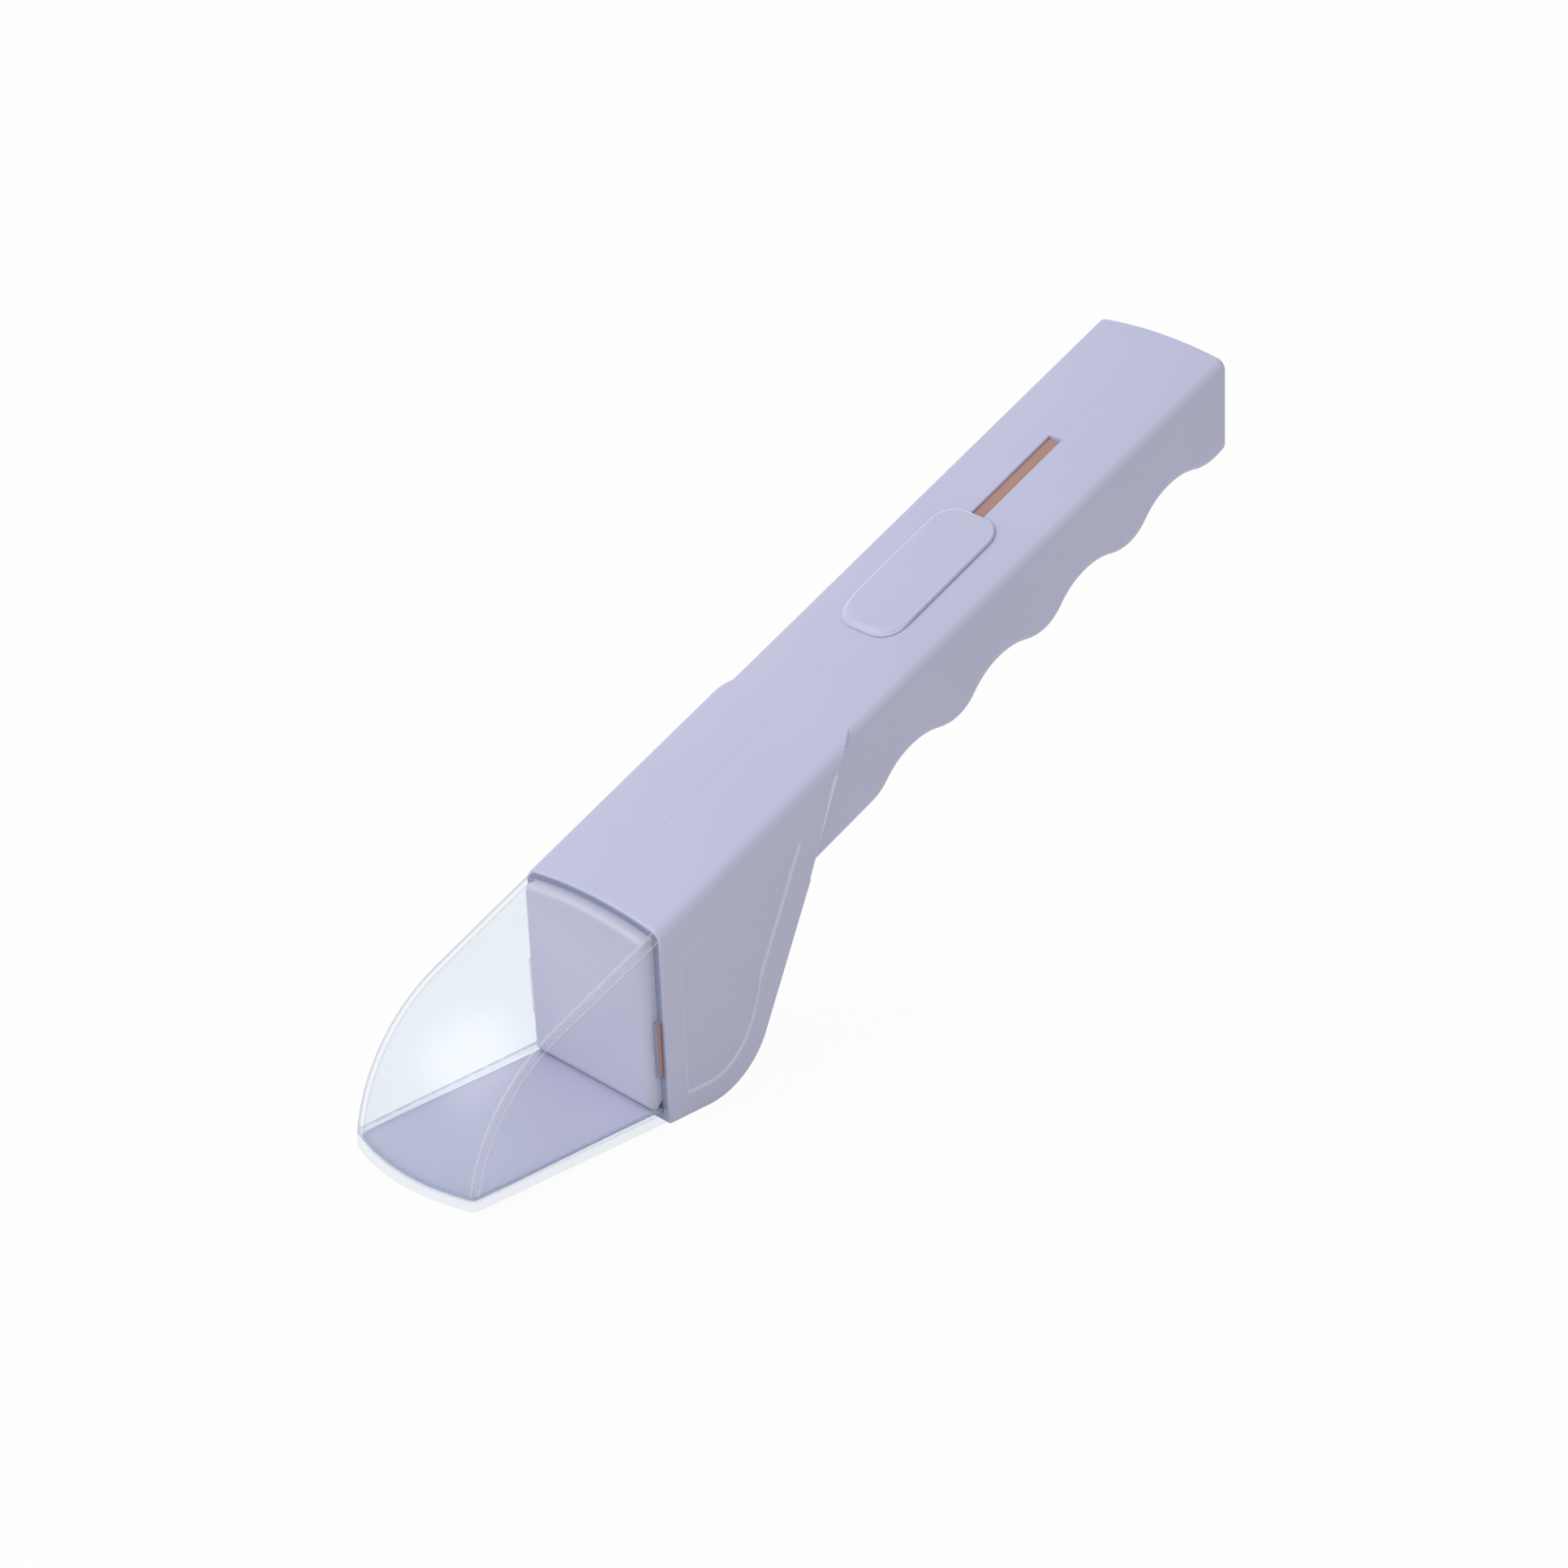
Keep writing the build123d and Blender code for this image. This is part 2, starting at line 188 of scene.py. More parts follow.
@dataclass(frozen=True)
class Bend:
    """Round stretch of an outline, from one angle to another about a centre."""

    centre: tuple[float, float]
    radius: float
    first: float
    last: float

    @property
    def length(self) -> float:
        """Length of the arc."""
        return abs(self.last - self.first) * self.radius

    def at(self, distance: Array) -> tuple[Array, Array]:
        """Points at distances from the start: the angle grows by the distance over the radius.

        Args:
            distance: Distances from the start.

        Returns:
            Points and unit normals on the right-hand side, each of shape (n, 2).
        """
        turn = np.sign(self.last - self.first)
        angle = self.first + turn * distance / self.radius
        ray = np.stack((np.cos(angle), np.sin(angle)), axis=-1)
        return np.array(self.centre) + self.radius * ray, turn * ray


@dataclass(frozen=True)
class Outline:
    """Chain of straight and round stretches, followed by the distance along it."""

    stretches: tuple[Run | Bend, ...]

    @property
    def ends(self) -> Array:
        """Distance at the end of each stretch."""
        return np.cumsum([stretch.length for stretch in self.stretches])

    @property
    def length(self) -> float:
        """Length of the whole chain."""
        return float(self.ends[-1])

    def at(self, distance: Array) -> tuple[Array, Array]:
        """Points and normals at distances along the chain.

        Args:
            distance: Distances from the start, in millimetres.

        Returns:
            Points and unit normals on the right-hand side, each of shape (n, 2).
        """
        points = np.zeros((len(distance), 2))
        normals = np.zeros((len(distance), 2))
        ends = self.ends
        starts = ends - [stretch.length for stretch in self.stretches]
        owner = np.minimum(np.searchsorted(ends, distance, side="left"), len(ends) - 1)
        for index, stretch in enumerate(self.stretches):
            mine = owner == index
            points[mine], normals[mine] = stretch.at(distance[mine] - starts[index])
        return points, normals


def crown_curve(
    rise: Values, radius: Values, half: Values, shoulder: Values, across: Array, steps: Array
) -> tuple[Array, Array]:
    """Half of a crowned section: an arc over the middle, then a round shoulder that ends upright.

    The arc has its crest at rise. The shoulder touches the arc and the upright line at half. Every input
    but the last two is one number, or has one for each of the n sections.

    Args:
        rise: Height of the crest.
        radius: Radius of the arc.
        half: Half of the width.
        shoulder: Radius of the shoulder.
        across: Places on the arc as shares of the way to the shoulder, or rows of such shares.
        steps: Places on the shoulder, from 0 to 1.

    Returns:
        Distances from the middle and heights, each of shape (n, places).
    """
    sizes = (rise, radius, half, shoulder)
    rise, radius, half, shoulder = (np.reshape(size, (-1, 1)) for size in sizes)
    reach = radius - shoulder
    lean = np.arcsin((half - shoulder) / reach)
    arc_y = across * radius * np.sin(lean)
    arc_h = rise - radius + np.sqrt(radius**2 - arc_y**2)
    angle = lean + steps * (np.pi / 2 - lean)
    round_y = half - shoulder + shoulder * np.sin(angle)
    round_h = rise - radius + reach * np.cos(lean) + shoulder * np.cos(angle)
    return np.concatenate((arc_y, round_y), axis=1), np.concatenate((arc_h, round_h), axis=1)


def quads(index: Array) -> Array:
    """Four-sided faces of a grid of vertex numbers."""
    corners = (index[:-1, :-1], index[1:, :-1], index[1:, 1:], index[:-1, 1:])
    return np.stack(corners, axis=-1).reshape(-1, 4)


def walled(outer: Array, inner: Array) -> tuple[Array, Array]:
    """Closed wall between two grids of the same shape, with its four borders filled.

    Args:
        outer: Points of the outer surface, of shape (rows, columns, 3).
        inner: Points of the inner surface.

    Returns:
        Points and faces.
    """
    rows, columns = outer.shape[:2]
    skin = np.arange(rows * columns).reshape(rows, columns)
    lining = skin + rows * columns
    borders = (
        np.stack((lining[0], skin[0])),
        np.stack((skin[-1], lining[-1])),
        np.stack((skin[:, 0], lining[:, 0])),
        np.stack((lining[:, -1], skin[:, -1])),
    )
    faces = [quads(skin), quads(lining)[:, ::-1]]
    faces += [quads(border) for border in borders]
    return np.concatenate((outer.reshape(-1, 3), inner.reshape(-1, 3))), np.concatenate(faces)


def wrapped(half_rows: Array) -> tuple[Array, Array]:
    """Closed surface from rows that each hold half of a loop, from one point at Y 0 to another.

    The other half of each loop is the mirror image across Y. The first and the last row lie at Y 0, so
    that they close the ends.

    Args:
        half_rows: Points of shape (rows, columns, 3).

    Returns:
        Points and faces.
    """
    grid = np.concatenate((half_rows, half_rows[:, ::-1] * MIRROR), axis=1)
    index = np.arange(grid.shape[0] * grid.shape[1]).reshape(grid.shape[:2])
    return grid.reshape(-1, 3), quads(index)


def both_halves(half: Array, flip: Triple | float = 1.0) -> Array:
    """Rows that start in the middle, with their mirror image put ahead of them.

    Args:
        half: Points or values, one row for each section.
        flip: Factor of the mirror image.

    Returns:
        Rows from one side to the other, with the middle once.
    """
    return np.concatenate((half[:, ::-1] * flip, half[:, 1:]), axis=1)


def rounded_loop(length: float, width: float, corner: float) -> tuple[Array, Array]:
    """Half of a rounded rectangle about its centre, from the middle of one short side to the other's.

    Args:
        length: Size along the first axis.
        width: Size along the second axis.
        corner: Radius of the corners.

    Returns:
        Places along the two axes.
    """
    turn = quarter(LOOP_TURN)
    front_y = np.linspace(0.0, width / 2 - corner, LOOP_FRONT)[:-1]
    bend_u = corner * (1.0 - np.cos(turn)) - length / 2
    bend_y = width / 2 - corner * (1.0 - np.sin(turn))
    side_u = np.linspace(corner - length / 2, length / 2 - corner, LOOP_SIDE)[1:-1]
    ahead = np.concatenate((np.full_like(front_y, -length / 2), bend_u))
    outward = np.concatenate((front_y, bend_y))
    u = np.concatenate((ahead, side_u, -ahead[::-1]))
    y = np.concatenate((outward, np.full_like(side_u, width / 2), outward[::-1]))
    return u, y


def make_piece(
    name: str, points: Array, faces: Array, marks: dict[str, Array] | None = None, crease: float = 32.0
) -> bpy.types.Object:
    """Object at the origin from points in millimetres, welded, with open ends filled and faces outwards.

    Args:
        name: Name of the piece.
        points: Points of shape (n, 3).
        faces: Vertex numbers of shape (m, 4).
        marks: Values from 0 to 1 for every point, by the name of the attribute that keeps them.
        crease: Angle in degrees over which an edge stays crisp.

    Returns:
        The new object, linked to the scene.
    """
    mesh = bpy.data.meshes.new(name)
    mesh.from_pydata((points * MM).tolist(), [], faces.tolist())
    for label, values in (marks or {}).items():
        layer = mesh.attributes.new(label, "FLOAT", "POINT")
        layer.data.foreach_set("value", values.ravel().astype(np.float32))
    work = bmesh.new()
    work.from_mesh(mesh)
    bmesh.ops.remove_doubles(work, verts=work.verts, dist=WELD)
    bmesh.ops.dissolve_degenerate(work, edges=work.edges, dist=WELD)
    bmesh.ops.holes_fill(work, edges=[edge for edge in work.edges if edge.is_boundary], sides=0)
    bmesh.ops.recalc_face_normals(work, faces=work.faces)
    work.to_mesh(mesh)
    work.free()
    mesh.polygons.foreach_set("use_smooth", np.ones(len(mesh.polygons), dtype=bool))
    mesh.set_sharp_from_angle(angle=np.radians(crease))
    piece = bpy.data.objects.new(name, mesh)
    bpy.context.scene.collection.objects.link(piece)
    return piece


class Graph:
    """Node tree of one material or of the world."""

    def __init__(self, tree: bpy.types.NodeTree) -> None:
        """Empty the tree, to start from nothing."""
        self.tree = tree
        self.tree.nodes.clear()

    def node(self, kind: str, settings: dict[str, Any], inputs: dict[str | int, Any]) -> bpy.types.Node:
        """Add any node.

        Args:
            kind: Node type.
            settings: Properties that are set first.
            inputs: Values or signals for the sockets, by name or number.

        Returns:
            The new node.
        """
        node = self.tree.nodes.new(kind)
        for key, value in settings.items():
            setattr(node, key, value)
        for key, value in inputs.items():
            if isinstance(value, Signal):
                self.tree.links.new(value.socket, node.inputs[key])
            else:
                node.inputs[key].default_value = value
        return node

    def signal(
        self, kind: str, inputs: dict[str | int, Any], out: str | int = 0, **settings: Any
    ) -> "Signal":
        """Add any node and wrap one of its outputs."""
        return Signal(self, self.node(kind, settings, inputs).outputs[out])

    def place(self) -> "Signal":
        """Coordinates of the piece's own frame."""
        return self.signal("ShaderNodeTexCoord", {}, "Object")

    def noise(self, place: "Signal", scale: float, detail: float) -> "Signal":
        """Grey noise with grains of one over the scale, in metres."""
        inputs = {"Vector": place, "Scale": scale, "Detail": detail, "Roughness": 0.5}
        return self.signal("ShaderNodeTexNoise", inputs)

    def mark(self, label: str) -> "Signal":
        """Attribute of the piece, 0 where it has none."""
        return self.signal("ShaderNodeAttribute", {}, "Fac", attribute_name=label)

    def blend(self, share: "Signal", first: Triple, last: Triple) -> "Signal":
        """Mix of two display colours by a share."""
        return self.mixed(share, linear(first), linear(last))

    def mixed(self, share: "Signal", first: Any, last: Any) -> "Signal":
        """Mix of two linear colours or signals by a share."""
        return self.signal("ShaderNodeMix", {0: share, 6: first, 7: last}, 2, data_type="RGBA")

    def bump(self, height: "Signal", strength: float, distance: float) -> "Signal":
        """Normal that is bent by a height, with the distance in millimetres."""
        inputs = {"Strength": strength, "Distance": distance * MM, "Height": height}
        return self.signal("ShaderNodeBump", inputs)

    def plastic(self, colour: "Signal", gloss: "Signal", **more: Any) -> "Signal":
        """Principled surface.

        Args:
            colour: Base colour.
            gloss: Roughness.
            more: Values or signals of other sockets, with an underscore for each space.

        Returns:
            The surface.
        """
        inputs = {"Base Color": colour, "Roughness": gloss}
        inputs.update({name.replace("_", " "): value for name, value in more.items()})
        return self.signal("ShaderNodeBsdfPrincipled", inputs)

    def join(self, share: "Signal", first: "Signal", last: "Signal") -> "Signal":
        """Mix of two surfaces by a share."""
        return self.signal("ShaderNodeMixShader", {0: share, 1: first, 2: last})

    def finish(self, kind: str, surface: "Signal") -> None:
        """Send a surface to the output, which is that of a material or of the world."""
        self.node(f"ShaderNodeOutput{kind}", {}, {"Surface": surface})


class Signal:
    """Socket that takes part in Python expressions."""

    def __init__(self, graph: Graph, socket: bpy.types.NodeSocket) -> None:
        """Keep the socket and the graph that it belongs to."""
        self.graph = graph
        self.socket = socket

    def math(self, operation: str, first: Any, last: Any) -> "Signal":
        """Math node on two values."""
        return self.graph.signal("ShaderNodeMath", {0: first, 1: last}, operation=operation)

    def __add__(self, other: Any) -> "Signal":
        """Sum."""
        return self.math("ADD", self, other)

    __radd__ = __add__

    def __mul__(self, other: Any) -> "Signal":
        """Product."""
        return self.math("MULTIPLY", self, other)

    __rmul__ = __mul__

    def __sub__(self, other: Any) -> "Signal":
        """Difference."""
        return self.math("SUBTRACT", self, other)

    def __rsub__(self, other: Any) -> "Signal":
        """Difference from a plain number."""
        return self.math("SUBTRACT", other, self)

    def __pow__(self, other: Any) -> "Signal":
        """Power."""
        return self.math("POWER", self, other)

    def __rpow__(self, other: Any) -> "Signal":
        """Power of a plain number."""
        return self.math("POWER", other, self)

    def at_most(self, other: Any) -> "Signal":
        """Smaller of two values."""
        return self.math("MINIMUM", self, other)

    def at_least(self, other: Any) -> "Signal":
        """Larger of two values."""
        return self.math("MAXIMUM", self, other)


def new_material(name: str) -> tuple[bpy.types.Material, Graph]:
    """Material with an empty node tree.

    Args:
        name: Name of the material.

    Returns:
        The material and the graph of its nodes.
    """
    material = bpy.data.materials.new(name)
    material.use_nodes = True
    return material, Graph(material.node_tree)


@dataclass(frozen=True)
class MouldedPlastic:
    """Satin moulded plastic: slow drift of tone, fine spark grain, uneven gloss and a painted highlight on
    marked edges.
    """

    name: str
    colour: Triple
    deep: Triple
    # Colour of the painted highlight on marked edges.
    rubbed: Triple
    roughness: float = 0.42
    gloss_drift: float = 0.10
    gloss_grain: float = 0.12
    grain_size: float = 0.35
    grain_depth: float = 0.012
    grain_strength: float = 0.35
    drift_size: float = 28.0
    specular: float = 0.45

    def material(self) -> bpy.types.Material:
        """Build the node tree: the drift blends two tones, and marked edges show the painted highlight
        colour.

        Returns:
            The material.
        """
        material, graph = new_material(self.name)
        place = graph.place()
        drift = graph.noise(place, 1.0 / (self.drift_size * MM), detail=2.0)
        grain = graph.noise(place, 1.0 / (self.grain_size * MM), detail=3.0)
        plain = graph.blend(drift, self.deep, self.colour)
        # Painted highlight: the edge mark mixes in a near-white colour where an edge would catch the light.
        colour = graph.mixed(graph.mark("edge"), plain, linear(self.rubbed))
        gloss = self.roughness + self.gloss_drift * (drift - NOISE_MEAN)
        gloss = gloss + self.gloss_grain * (grain - NOISE_MEAN)
        normal = graph.bump(grain, self.grain_strength, self.grain_depth)
        surface = graph.plastic(colour, gloss, Normal=normal, Specular_IOR_Level=self.specular)
        graph.finish("Material", surface)
        return material


@dataclass(frozen=True)
class ClearPlastic:
    """Clear moulded plastic: a faint cool veil, grey-blue lines of painted shade at its edges, and soft
    gloss.

    A cut edge shows grey-blue from every side, and a round one only where it turns from view. The share
    of the mirror is what it mirrors head on, and the rest times the fifth power of the turn from view,
    with a shine beside round edges.
    """

    name: str
    tint: Triple
    veil: Triple
    # Grey-blue colour of the painted shade along edges.
    line: Triple
    haze: float = 0.022
    depth: float = 0.72
    roughness: float = 0.3
    gloss_marks: float = 0.1
    marks_scale: float = 220.0
    head_on: float = 0.03
    shine: float = 0.3
    turn_from: float = 0.3
    turn_gain: float = 2.5

    def material(self) -> bpy.types.Material:
        """Build the node tree: what passes through, a veil and lines of painted grey-blue shade over it,
        and the mirror on top.

        Returns:
            The material.
        """
        material, graph = new_material(self.name)
        marks = graph.noise(graph.place(), self.marks_scale, detail=4.0)
        turned = graph.signal("ShaderNodeLayerWeight", {"Blend": 0.5}, "Facing")
        away = (self.turn_gain * (turned - self.turn_from)).at_least(0.0).at_most(1.0)
        # Painted shade: grey-blue lines where a marked edge turns from view, and on cut edges, standing in
        # for refraction.
        line = (graph.mark("edge") * away).at_least(graph.mark("cut"))
        colour = graph.blend(line, self.veil, self.line)
        gloss = self.roughness + self.gloss_marks * (marks - NOISE_MEAN)
        through = graph.signal("ShaderNodeBsdfTransparent", {"Color": linear(self.tint)})
        share = self.haze * (NOISE_MEAN + marks) + self.depth * line
        wall = graph.join(share, through, graph.plastic(colour, gloss))
        mirror = graph.signal("ShaderNodeBsdfGlossy", {"Roughness": gloss})
        mirrored = self.head_on + (1.0 - self.head_on) * turned**5.0 + self.shine * graph.mark("shine")
        graph.finish("Material", graph.join(mirrored, wall, mirror))
        return material


@dataclass(frozen=True)
class RolledSheet:
    """Thin flexible sheet: fine streaks along its length over an even colour."""

    name: str
    colour: Triple
    deep: Triple
    roughness: float = 0.38
    gloss_streaks: float = 0.12
    streak_scale: float = 1800.0
    streak_stretch: Triple = (0.05, 1.0, 0.05)
    streak_depth: float = 0.008
    streak_strength: float = 0.25
    drift_scale: float = 35.0

    def material(self) -> bpy.types.Material:
        """Build the node tree: the mean of streaks and drift blends the two tones.

        Returns:
            The material.
        """
        material, graph = new_material(self.name)
        place = graph.place()
        lengthwise = graph.signal("ShaderNodeMapping", {"Vector": place, "Scale": self.streak_stretch})
        streaks = graph.noise(lengthwise, self.streak_scale, detail=3.0)
        drift = graph.noise(place, self.drift_scale, detail=2.0)
        colour = graph.blend(0.5 * (streaks + drift), self.deep, self.colour)
        gloss = self.roughness + self.gloss_streaks * (streaks - NOISE_MEAN)
        normal = graph.bump(streaks, self.streak_strength, self.streak_depth)
        graph.finish("Material", graph.plastic(colour, gloss, Normal=normal))
        return material


@dataclass(frozen=True)
class Finishes:
    """Materials of the catcher, made once."""

    body: bpy.types.Material
    plug: bpy.types.Material
    clear: bpy.types.Material
    inner: bpy.types.Material
    sheet: bpy.types.Material

    @classmethod
    def make(cls) -> "Finishes":
        """Build the materials.

        Returns:
            The materials, in the order of the fields.
        """
        kinds = (
            # The third colour of a moulded plastic is the painted highlight that its marked edges show.
            MouldedPlastic("lavender_plastic", (191, 192, 219), (185, 186, 214), (250, 250, 255)),
            # The plug's lavender is painted lighter and warmer than the housing's, to make up for the light
            # that the clear hood holds back.
            MouldedPlastic("lavender_painted_lighter", (205, 200, 220), (199, 195, 216), (224, 224, 242)),
            # The clear plastic's last colour is the painted grey-blue shade of its edge lines.
            ClearPlastic("clear_plastic", (252, 253.5, 255), (205, 224, 255), (140, 144, 172)),
            MouldedPlastic("copper_plastic", (176, 134, 124), (164, 124, 114), (200, 160, 150)),
            RolledSheet("lavender_sheet", (201, 198, 221), (194, 191, 215)),
        )
        return cls(*(kind.material() for kind in kinds))


def dress(piece: bpy.types.Object, material: bpy.types.Material) -> None:
    """Give a piece one material."""
    piece.data.materials.clear()
    piece.data.materials.append(material)


def settle(
    piece: bpy.types.Object, carrier: Carrier, slot: Slot, material: bpy.types.Material, *nodes: str
) -> None:
    """Dress a new piece, put it on its body and let it stand for its solids.

    Args:
        piece: The new piece.
        carrier: Body that it rides on.
        slot: Material slot that its finish stands for; not used.
        material: Its material.
        nodes: Solids that it replaces.
    """
    dress(piece, material)
    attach(piece, carrier.value)
    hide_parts(*nodes)
    log.info("%s: %d faces", piece.name, len(piece.data.polygons))


@dataclass(frozen=True)
class Layout:
    """Lines of the side view that the sub-assemblies share.

    The top line starts at the joint between the hood and the housing and rises along the grip. Places
    are given along it (u) and above it (v).
    """

    slope: float
    half_width: float
    hood_half: float
    joint_foot: float = 49.6
    joint_height: float = 43.0
    lean: float = float(np.radians(3.8))
    crown: float = 1.6

    @classmethod
    def from_frame(cls, frame: dict[str, Any]) -> "Layout":
        """Read the slope of the slide and the widths of the housing and the hood.

        Args:
            frame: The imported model.

        Returns:
            The layout.
        """
        axis = frame["record"]["behaviour"]["joints"][0]["axis"]
        housing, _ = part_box("housing_right")
        hood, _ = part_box("capture_chamber")
        slope = float(np.arctan2(axis[2], axis[0]))
        return cls(slope=slope, half_width=-housing[1] / MM, hood_half=-hood[1] / MM)

    @property
    def along(self) -> Array:
        """Direction of the top line in X and Z."""
        return np.array((np.cos(self.slope), np.sin(self.slope)))

    @property
    def above(self) -> Array:
        """Direction square to the top line in X and Z."""
        return np.array((-np.sin(self.slope), np.cos(self.slope)))

    @property
    def joint_top(self) -> Array:
        """Start of the top line in X and Z."""
        return np.array((self.joint_foot - self.joint_height * np.tan(self.lean), self.joint_height))

    @property
    def crown_radius(self) -> float:
        """Radius of the crowned top across the housing."""
        return (self.half_width**2 + self.crown**2) / (2.0 * self.crown)

    def place(self, u: Array, v: Array) -> Array:
        """Points in X and Z from places along and above the top line."""
        u, v = (np.asarray(value)[..., None] for value in (u, v))
        return self.joint_top + u * self.along + v * self.above

    def depth(self, points: Array) -> Array:
        """Distances of points under the top line."""
        return -(points - self.joint_top) @ self.above

    def crest(self, y: Array) -> Array:
        """Height of the crowned top over the top line, at a distance from its middle."""
        return self.crown - self.crown_radius + np.sqrt(self.crown_radius**2 - y**2)

    def rows(self, rows: list[tuple[Array, Array, Array]], centre: float) -> Array:
        """Points of rows given in u about a centre, Y and v.

        Args:
            rows: Rows of u, Y and v.
            centre: Place that u is counted from, along the top line.

        Returns:
            Points of shape (rows, columns, 3).
        """
        u, y, v = (np.stack(values) for values in zip(*rows))
        plane = self.place(u + centre, v)
        return np.stack((plane[..., 0], y, plane[..., 1]), axis=-1)


@dataclass
class Stations:
    """Sections of a housing shell, one row each, from the joint to the butt."""

    top: Array
    foot: Array
    normal: Array
    half: Array
    edge: Array
    skew: Array
    slot: Array
    panel_inset: Array
    inset: Array
    shift: Array
    squeeze: Array

    def take(self, index: Array) -> "Stations":
        """Rows by number."""
        return Stations(**{item.name: getattr(self, item.name)[index] for item in fields(self)})

    def join(self, other: "Stations") -> "Stations":
        """These rows, then another set's rows.

        Args:
            other: Rows that follow.

        Returns:
            All rows.
        """
        names = [item.name for item in fields(self)]
        joined = {name: np.concatenate((getattr(self, name), getattr(other, name))) for name in names}
        return Stations(**joined)


@dataclass
class HousingShells:
    """Two mirrored shells of the body and the grip, with finger grooves, thumb slot and side panels."""

    layout: Layout
    wall: float = 1.4
    back_foot: float = 71.8
    back: float = float(np.radians(68.0))
    step: float = float(np.radians(74.0))
    belly_radius: float = 17.0
    belly_edge: float = 0.8
    body_shoulder: float = 3.0
    grip_half: float = 17.4
    grip_shoulder: float = 2.3
    grip_depth: float = 19.3
    grip_edge: float = 2.5
    groove_first: float = 71.5
    groove_pitch: float = 27.8
    groove_count: int = 4
    groove_radius: float = 16.0
    groove_depth: float = 15.8
    ridge_radius: float = 10.9
    butt_length: float = 24.35
    butt_depth: float = 19.9
    butt_radius: float = 2.6
    end_lean: float = float(np.radians(4.4))
    end_edge: float = 1.0
    slot_front: float = 90.7
    slot_back: float = 143.3
    slot_half: float = 1.7
    slot_bevel: float = 0.15
    seam: float = 0.03
    front_edge: float = 0.6
    step_edge: float = 0.5
    # Width of the painted highlight line ahead of the step, and its strength there and on the shoulder.
    step_line: float = 0.45
    step_shine: float = 0.38
    step_blend: float = 2.4
    step_sweep: float = 6.0
    panel_front: float = 4.9
    panel_drop: float = 8.8
    panel_floor: float = 4.9
    panel_back: float = 6.3
    panel_depth: float = 0.5
    panel_lip: float = 0.8
    # Strengths of the painted highlight on the lower panel lip and on the front and top lips.
    panel_shine: float = 0.32
    panel_faint: float = 0.25
    end_blend: float = 1.5
    least_edge: float = 0.4
    least_shoulder: float = 0.6
    least_reach: float = 0.1
    plain_shares: tuple[float, float] = (0.4, 0.7)
    body_rows: int = 90
    near_rows: int = 12
    grip_rows: int = 190
    sweep_rows: int = 24
    probe_rows: int = 200
    arc_columns: int = 11
    shoulder_columns: int = 10
    lip_columns: int = 5
    field_columns: int = 8
    hem_columns: int = 7

    @property
    def back_rise(self) -> Array:
        """Direction of the back wall in X and Z."""
        return np.array((np.cos(self.back), np.sin(self.back)))

    def belly_outline(self) -> Outline:
        """Underside of the body: floor, round belly and leaning back wall up to the grip's underside.

        Returns:
            The chain, in X and Z.
        """
        tangent = self.belly_radius * np.tan(self.back / 2)
        floor_end = self.back_foot - tangent
        wall_start = np.array((self.back_foot, 0.0)) + tangent * self.back_rise
        return Outline((
            Run((self.layout.joint_foot, 0.0), (floor_end, 0.0)),
            Bend((floor_end, self.belly_radius), self.belly_radius, -np.pi / 2, self.back - np.pi / 2),
            Run(tuple(wall_start), tuple(self.on_back_wall(self.grip_depth))),
        ))

    def on_back_wall(self, depth: float) -> Array:
        """Point of the back wall's line at a depth under the top line.

        Args:
            depth: Depth under the top line.

        Returns:
            The point, in X and Z.
        """
        foot = np.array((self.back_foot, 0.0))
        climb = (self.layout.depth(foot) - depth) / (self.back_rise @ self.layout.above)
        return foot + climb * self.back_rise

    def grip_outline(self) -> Outline:
        """Underside of the grip in u and v: neck, grooves with round ridges between, and the butt.

        Returns:
            The chain, in u and v, in which each arc touches the next one.
        """
        axis = -(self.groove_depth + self.groove_radius)
        span = self.groove_radius + self.ridge_radius
        grooves = [(self.groove_first + self.groove_pitch * k, axis) for k in range(self.groove_count)]
        neck_v = self.ridge_radius - self.grip_depth
        neck = (grooves[0][0] - np.sqrt(span**2 - (neck_v - axis) ** 2), neck_v)
        ridge_v = axis + np.sqrt(span**2 - (self.groove_pitch / 2) ** 2)
        butt_v = self.ridge_radius - self.butt_depth
        butt = (grooves[-1][0] + np.sqrt(span**2 - (butt_v - axis) ** 2), butt_v)
        chain = [(neck, self.ridge_radius, -np.pi / 2)]
        for k, groove in enumerate(grooves):
            chain.append((groove, self.groove_radius, None))
            last = k == self.groove_count - 1
            ridge = butt if last else (groove[0] + self.groove_pitch / 2, ridge_v)
            chain.append((ridge, self.ridge_radius, None))
        lead = Run((self.corner_u, -self.grip_depth), (neck[0], -self.grip_depth))
        stretches: list[Run | Bend] = [lead]
        for k, (centre, radius, first) in enumerate(chain):
            ahead = chain[k + 1][0] if k + 1 < len(chain) else (centre[0], centre[1] - 1.0)
            begin = first if first is not None else self.heading(centre, chain[k - 1][0])
            stretches.append(Bend(centre, radius, begin, self.heading(centre, ahead)))
        fall = self.layout.slope - self.end_lean
        corner_u = self.grip_end - self.butt_depth * np.tan(fall)
        tangent = self.butt_radius * np.tan((np.pi / 2 - fall) / 2)
        stretches.append(Run((butt[0], -self.butt_depth), (corner_u - tangent, -self.butt_depth)))
        corner = (corner_u - tangent, self.butt_radius - self.butt_depth)
        stretches.append(Bend(corner, self.butt_radius, -np.pi / 2, -fall))
        return Outline(tuple(stretches))

    @property
    def corner_u(self) -> float:
        """Place of the corner between the back wall and the grip's underside, along the top line."""
        return float((self.on_back_wall(self.grip_depth) - self.layout.joint_top) @ self.layout.along)

    @property
    def step_u(self) -> float:
        """Place where the step's line, drawn up from that corner, meets the top line."""
        return self.corner_u + self.grip_depth / float(np.tan(self.step - self.layout.slope))

